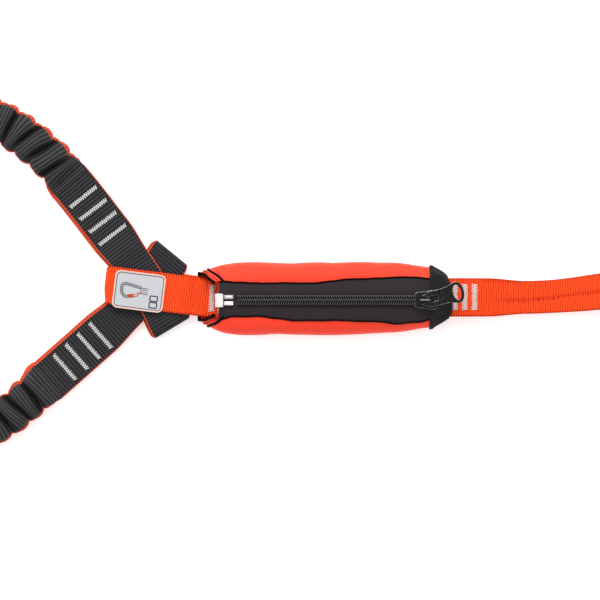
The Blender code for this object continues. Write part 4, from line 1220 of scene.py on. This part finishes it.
def zip_coil(side):
    """One half of the coil: a nylon wire wound along the tape's edge, its heads reaching past the middle."""
    label = "upper" if side > 0 else "lower"
    low, high = node_box(f"zip_coil_{label}")
    pitch = 1.5 * MM
    t = np.arange(int((high[0] - low[0]) / pitch) * 14) / 14
    x = low[0] + 0.6 * MM + (t + (0.5 if side > 0 else 0.0)) * pitch
    x = x[x < high[0] - 0.3 * MM]
    t = t[: len(x)]
    c, s = np.cos(TAU * t), np.sin(TAU * t)
    y = side * (1.35 * MM + 1.95 * MM * c)
    z = (low[2] + high[2]) / 2 + 0.72 * MM * s
    x = x + 0.18 * MM * s - 0.35 * MM * c
    wire = tube(f"coil_wire_{label}", line(x, y, z), (0.30 + 0.05 * np.clip(-c, 0, 1)) * MM, ["coil"])
    # Painted highlight for the wire's top: its height above the middle, strongest in three rows along the
    # coil, and dimmed on the lower half's heads so that the middle row shows only the upper half's.
    places = np.array([vert.co for vert in wire.data.vertices])
    aside = np.abs(places[:, 1])
    rows = 0.44 + 0.56 * np.clip(np.cos(TAU * aside / (3.0 * MM)), 0.0, 1.0)
    rows[aside < 0.8 * MM] *= 1.0 if side > 0 else 0.1
    paint(wire, "across", np.clip((places[:, 2] - z.mean()) / (1.1 * MM), 0.0, 1.0) * 0.5 * rows)
    cord = line(np.linspace(low[0] + 0.8 * MM, high[0] - 0.5 * MM, 150), side * 1.75 * MM, z.mean())
    core = tube(f"coil_cord_{label}", cord, 1.9 * MM, ["coil_base"], 8, 0.2)
    dashes = []
    for dash_x in np.arange(low[0] + 1.5 * MM, high[0] - 1.5 * MM, 1.5 * MM):
        points = line(dash_x + np.array([0.0, 0.95 * MM]), side * 2.75 * MM, high[2] + 0.02 * MM)
        dashes.append(tube("coil_stitch", points, 0.17 * MM, ["dark"], 4))
    obj = join(f"zip_coil_{label}_wound", [wire, core] + dashes)
    flap_blend(dress(obj, f"zip_coil_{label}"), side)


def cord_along(name, first, last, offset, lift, radius, mat):
    """A cord round the mouth between two angles in degrees, offset along X from the shell's edge."""
    angle = np.radians(np.linspace(first, last, max(int(abs(last - first) / 2), 8)))
    points = section(mouth_x(lifted(angle)) + offset, angle, -lift)
    points[:, 2] = np.maximum(points[:, 2], radius + 0.1 * MM)
    return tube(name, points, radius, [mat], 8)


def mouth_cords():
    for label, first, last, side in (("upper", 64, 3, 1), ("base", 3, -183, 0), ("lower", -183, -244, -1)):
        for name, offset, lift, radius, mat, node in (
            ("mouth_cord", 0.7, -0.3, 1.1, "bound", f"mouth_binding_{label}"),
            ("mouth_seam", 6.6, -0.5, 0.95, "bound", None),
            ("mouth_seam_inner", 3.7, -0.38, 0.45, "bound_thin", None),
        ):
            cord = cord_along(f"{name}_{label}", first, last, offset * MM, lift * MM, radius * MM, mat)
            flap_blend(dress(cord, node), side, cloth=True)


def hood():
    """Black folded cloth from the pouch's end down to the strap, with pointed ears at its wide end."""
    high = node_box("end_hood")[1]
    steps, count = 26, 96
    middle_y = 1.7 * MM
    u = np.linspace(0.0, 1.0, steps)[:, None]
    angle = np.arange(count) * TAU / count
    degrees = np.degrees(angle)
    c, s = np.cos(angle), np.sin(angle)
    left = POUCH_RIGHT - 1.8 * MM
    wide = section(np.full(count, POUCH_RIGHT), angle, -1.0 * MM)
    ear = np.exp(-(((degrees - 14) / 13) ** 2)) + np.exp(-(((degrees - 166) / 13) ** 2))
    wide[:, 1] += np.sign(c) * 0.6 * MM * ear
    narrow = line(high[0], middle_y + 13.9 * MM * squared(c, 0.5), STRAP_Z + 4.2 * MM * squared(s, 0.6))
    shape = (np.clip((u - 0.14) / 0.86, 0.0, 1.0) ** 0.85)[..., None]
    rings = wide * (1 - shape) + narrow * shape
    rings[..., 0] = left + (high[0] + 0.1 * MM - left) * u
    rings[..., 0] -= ease(np.abs(rings[..., 1] - 0.5 * MM), 7 * MM, 15 * MM) * u**3 * 3.0 * MM
    pleat = np.cos(7 * angle + 0.6) * 0.6 * MM * np.sin(math.pi * u)
    crease = np.exp(-(((np.abs(degrees - 90) - (24 + 30 * u)) / 7) ** 2)) * -0.8 * MM
    push = pleat + crease * np.clip(s, 0, 1) * np.sin(math.pi * np.clip(u, 0.05, 1))
    rings[..., 1] += push * c
    rings[..., 2] += push * s
    rings[..., 2] = np.maximum(rings[..., 2], 0.6 * MM)
    centre = line(rings[..., 0], middle_y, STRAP_Z)
    shell = np.concatenate([rings, (centre + (rings - centre) * 0.955)[::-1]], axis=0)
    obj = loft("end_hood_cloth", shell, ["hood"], caps=False)
    top = (len(shell) - 1) * count
    with editing(obj.data) as bm:
        bm.verts.ensure_lookup_table()
        for j in range(count):
            k = (j + 1) % count
            bm.faces.new([bm.verts[n] for n in (j, k, top + k, top + j)])
        bmesh.ops.recalc_face_normals(bm, faces=bm.faces)
    obj.data.shade_smooth()
    dress(obj, "end_hood", "absorber_pouch")


# ---------------------------------------------------------------- inside the pouch


# The middle of what lies inside the pouch, across it.
INSIDE_Y = 1.1 * MM


def inside_pouch():
    tear_pack()
    retaining_band()
    inspection_page()


def tear_pack():
    """The tear webbing, folded back and forth in five layers."""
    low, high = node_box("tear_webbing_pack")
    thick, pitch, layers = 2.6 * MM, 3.05 * MM, 5
    radius = pitch / 2
    left, right = low[0] + radius + thick / 2, high[0] - radius - thick / 2
    profile = [(left, low[2] + thick / 2)]
    for i in range(layers):
        z = low[2] + thick / 2 + i * pitch
        end, turn = (right, (-90, 90)) if i % 2 == 0 else (left, (270, 90))
        profile.append((end, z))
        if i < layers - 1:
            profile += arc(end, z + radius, radius, *turn, 8)[1:]
    path = resample(profile, 0.5 * MM, 4)
    centre = line(path[:, 0], INSIDE_Y, path[:, 1])
    pack = strap("tear_webbing_folds", centre, SIDEWAYS, WEB, thick * 0.95, ["orange"], 2.0 * MM, 0.12)
    dress(pack, "tear_webbing_pack", "absorber_pouch")


def retaining_band():
    """The ribbed elastic band round the folds."""
    low, high = node_box("pack_retaining_band")
    centre = (low + high) / 2
    outline = looped(np.array(rounded(high[1] - low[1] - 0.6 * MM, high[2] - low[2] - 0.6 * MM, 0.9 * MM, 5)))
    path = resample(line(centre[0], centre[1] + outline[:, 0], centre[2] + outline[:, 1]), 0.25 * MM, 1)
    outward = unit(np.cross(unit(np.gradient(path, axis=0)), FORWARD))
    widths = np.array([-4.5, -4.3, 4.3, 4.5, 4.3, -4.3]) * MM
    rise = np.array([0.0, 0.3, 0.3, 0.0, -0.3, -0.3]) * MM
    ribs = 1.0 + 0.2 * np.sin(TAU * lengths(path) / (1.0 * MM))
    rings = spread(path, (FORWARD, widths), (outward, rise * ribs[:, None]))
    band = loft("pack_band", rings, ["band"], None, lengths(path), widths)
    dress(band, "pack_retaining_band", "absorber_pouch")


def inspection_page():
    """The folded blank label, stitched along both edges."""
    low, high = node_box("inspection_label")
    z0, z1 = low[2] + 0.2 * MM, high[2] - 0.2 * MM
    end = high[0] - 0.7 * MM

    def curl(x):
        return 0.25 * MM * np.sin(x / (9 * MM))

    profile = [(low[0], z0), (end, z0)] + arc(end, (z0 + z1) / 2, (z1 - z0) / 2, -90, 90, 6)[1:-1]
    profile += [(end, z1), (low[0] + 2 * MM, z1)]
    path = resample(profile, 0.6 * MM, 2)
    lift = curl(path[:, 0]) * (path[:, 1] > (z0 + z1) / 2)
    centre = line(path[:, 0], INSIDE_Y, path[:, 1] + lift)
    pieces = [strap("inspection_label_cloth", centre, SIDEWAYS, 21 * MM, 0.4 * MM, ["page"], 3 * MM, 0.04)]
    for row in (-9.0, 9.0):
        for x in np.arange(low[0] + 4 * MM, end - 2 * MM, 2.4 * MM):
            points = line(x + np.array([0.0, 1.4 * MM]), INSIDE_Y + row * MM, z1 + curl(x) + 0.22 * MM)
            pieces.append(tube("page_stitch", points, 0.14 * MM, ["dark"], 4))
    dress(join("inspection_label_cloth", pieces), "inspection_label", "absorber_pouch")


# ---------------------------------------------------------------- metalwork


def zip_box():
    low, high = node_box("zip_retainer_box")
    mid = (low + high) / 2
    rim = [(x + mid[0], y + mid[1]) for x, y in rounded(high[0] - low[0], high[1] - low[1], 0.7 * MM, 4)]
    body = bevelled(slab("zip_box_body", [rim], low[2], high[2], ["silver"]), 0.45 * MM, 3)
    lip_low = (high[0] - 1.6 * MM, low[1] + 0.9 * MM, high[2] - 0.15 * MM)
    lip_high = (high[0] - 0.5 * MM, mid[1] - 0.4 * MM, high[2] + 0.25 * MM)
    lip = bevelled(block("zip_box_lip", lip_low, lip_high, ["silver"]), 0.15 * MM)
    flap_blend(dress(join("zip_retainer", [body, lip]), "zip_retainer_box"), -1)
    for node, side, mat in (("zip_box_pin", -1, "silver"), ("zip_insertion_pin", 1, "steel")):
        low, high = node_box(node)
        mid = (low + high) / 2
        pin = bevelled(block(f"{node}_bar", low, high, [mat]), 0.5 * MM, 3)
        ridge_low = (low[0] + 0.8 * MM, mid[1] - 0.3 * MM, high[2] - 0.3 * MM)
        ridge_high = (high[0] - 0.9 * MM, mid[1] + 0.3 * MM, high[2] + 0.2 * MM)
        ridge = bevelled(block(f"{node}_ridge", ridge_low, ridge_high, ["silver"]), 0.2 * MM)
        flap_blend(dress(join(f"{node}_metal", [pin, ridge]), node), side)


def slider():
    slider_body()
    slider_bridge()


def slider_body():
    """Two shaped plates joined by the wedge, with a side wall and a lug along each side."""
    low, high = node_box("slider_body")
    left, right, top = low[0], high[0], high[2]
    tail, nose = 4.9 * MM, 6.3 * MM
    half = [(left, tail - 1.4 * MM), (left + 0.5 * MM, tail - 0.4 * MM), (left + 1.6 * MM, tail)]
    half += [(right - 7.0 * MM, nose - 0.5 * MM), (right - 5.0 * MM, nose)]
    half += [(right - 2.4 * MM, nose - 0.4 * MM), (right - 0.8 * MM, nose - 1.6 * MM)]
    half.append((right, nose - 3.4 * MM))
    outline = half + [(x, -y) for x, y in reversed(half)]
    # The bevelled edges of the plates and lugs take the edge material: a painted highlight, partly wear.
    wear_and_highlight = ["lacquer", "edge"]
    upper = bevelled(slab("slider_top", [outline], top - 1.0 * MM, top, wear_and_highlight), 0.16 * MM, 2, 1)
    lower = bevelled(slab("slider_bottom", [outline], low[2], low[2] + 1.0 * MM, wear_and_highlight), 0.28 * MM, 2, 1)
    wedge_low = (69.2 * MM, -1.2 * MM, low[2] + 0.5 * MM)
    wedge_high = (72.0 * MM, 1.2 * MM, top - 0.5 * MM)
    pieces = [upper, lower, block("slider_wedge", wedge_low, wedge_high, ["lacquer"])]
    for side in (1, -1):
        y = side * 4.5 * MM
        wall_low = (left + 1.0 * MM, y - 0.4 * MM, low[2] + 2.8 * MM)
        wall_high = (right - 5.0 * MM, y + 0.4 * MM, top - 0.4 * MM)
        pieces.append(bevelled(block("slider_side", wall_low, wall_high, ["lacquer"]), 0.15 * MM))
        corners = [(left + 4.6 * MM, 3.1 * MM), (right - 3.6 * MM, 4.6 * MM), (right - 2.6 * MM, 3.4 * MM)]
        corners.append((left + 6.0 * MM, 2.0 * MM))
        lug = [(x, side * y) for x, y in corners][::side]
        lug = slab("slider_lug", [lug], top - 0.1 * MM, top + 0.55 * MM, wear_and_highlight)
        pieces.append(bevelled(lug, 0.2 * MM, 2, 1))
    dress(join("slider_metal", pieces), "slider_body", "zip_slider")


def slider_bridge():
    """The arched bridge that holds the pull tab, with a painted highlight line along its top."""
    low, high = node_box("slider_crown")
    foot, peak = low[2] - 0.3 * MM, high[2] - 0.85 * MM
    ends = low[0] + 0.85 * MM, high[0] - 0.85 * MM
    arch = [(ends[0], foot), (ends[0], peak - 1.1 * MM), (low[0] + 2.0 * MM, peak)]
    arch += [(high[0] - 2.0 * MM, peak), (ends[1], peak - 1.1 * MM), (ends[1], foot)]
    path = resample(arch, 0.35 * MM, 4)
    path = line(path[:, 0], 0.0, path[:, 1])
    crown = tube("slider_bridge", path, 0.92 * MM, ["lacquer"], 12, 1.0, SIDEWAYS)
    # A lighter strip raised along the bridge's top: a painted highlight.
    glint = tube("slider_bridge_highlight", path[3:-3] + UP * 0.28 * MM, 0.66 * MM, ["edge"], 10, 1.0, SIDEWAYS)
    dress(join("slider_crown_metal", [crown, glint]), "slider_crown", "zip_slider")


def puller():
    joint = JOINTS["puller_flip"]
    turn = math.atan2(joint["axis"][0], -joint["axis"][1])
    ring_x = 19.1 * MM

    def oval(along, across, start, end, steps):
        return [(ring_x + along * MM * x, across * MM * y) for x, y in arc(0.0, 0.0, 1.0, start, end, steps)]

    neck = [(-0.9, 4.3), (0.2, 4.9), (6.0, 5.0), (10.0, 5.0), (13.0, 5.2), (15.4, 5.9)]
    upper = [(x * MM, y * MM) for x, y in neck]
    rim = [(x, -y) for x, y in upper] + oval(4.5, 7.0, -112, 112, 34) + upper[::-1]
    window = [(0.7, -1.9), (6.3, -1.9), (6.7, -1.5), (6.7, 1.5), (6.3, 1.9), (0.7, 1.9)]
    window = [(x * MM, y * MM) for x, y in window]
    thick = 1.3 * MM
    outlines = [rim, window, oval(2.6, 4.9, 0, 350, 35)]
    # The plate's bevelled edges take the edge material: a painted highlight, partly wear.
    tab = slab("puller_plate", outlines, -thick / 2, thick / 2, ["lacquer", "edge"])
    bevelled(tab, 0.15 * MM, 2, 1, 40)
    bead = [(x, y, 0.0) for x, y in oval(3.55, 5.95, 0, 360, 48)]
    obj = join("puller_metal", [tab, tube("puller_bead", bead, 0.95 * MM, ["lacquer"], 10)])
    obj.matrix_world = Matrix.Translation(Vector(joint["pos_m"])) @ Matrix.Rotation(turn, 4, "Z")
    dress(obj, "puller_tab", "zip_puller")


# ---------------------------------------------------------------- studio


def studio():
    scene = bpy.context.scene
    world = bpy.data.worlds.new("studio") if scene.world is None else scene.world
    scene.world = world
    scene.view_settings.view_transform = "Standard"
    world.use_nodes = True
    background = world.node_tree.nodes["Background"]
    background.inputs["Color"].default_value = (1.0, 1.0, 1.0, 1.0)
    background.inputs["Strength"].default_value = 0.70

    floor_mesh = bpy.data.meshes.new("floor")
    with editing(floor_mesh) as bm:
        bmesh.ops.create_grid(bm, x_segments=1, y_segments=1, size=6.0)
    floor = shown("floor", floor_mesh)
    floor.location.z = -0.2 * MM
    pale = Mat("pale_floor", 0.9)
    pale.shader.inputs["Emission Color"].default_value = (1.0, 1.0, 1.0, 1.0)
    pale.shader.inputs["Emission Strength"].default_value = 0.42
    pale.finish(pale.mix(pale.noise(0.4), (0.96, 0.96, 0.96), (0.93, 0.93, 0.93)))
    floor_mesh.materials.append(pale.made)

    for name, place, size, power in (
        ("key_light", (-0.2, 1.7, 1.7), 1.2, 46.0),
        ("fill_light", (0.9, -1.3, 1.5), 1.4, 3.0),
        ("side_light", (-1.7, 0.2, 1.0), 0.8, 10.0),
    ):
        light = bpy.data.lights.new(name, "AREA")
        light.size = size
        light.energy = power
        lamp = shown(name, light)
        lamp.location = place
        lamp.rotation_euler = (-Vector(place)).to_track_quat("-Z", "Y").to_euler()

    camera = bpy.data.cameras.new("camera")
    distance, field = 2.2, 0.387
    camera.sensor_width = 36.0
    camera.lens = camera.sensor_width * distance / field
    seat = shown("camera", camera)
    seat.location = (-0.0161, 0.0, distance + 0.012)
    scene.camera = seat


# ---------------------------------------------------------------- build


for label, arm in ARMS.items():
    near_eye(label, arm)
    sleeve(label, arm, 1.3 if label == "upper" else 6.1)
    end_eye(label, arm)
    arm_stitches(label, arm)
rest_straps()
rest_label()
harness_straps()
pouch()
inside_pouch()
zip_box()
slider()
puller()
studio()
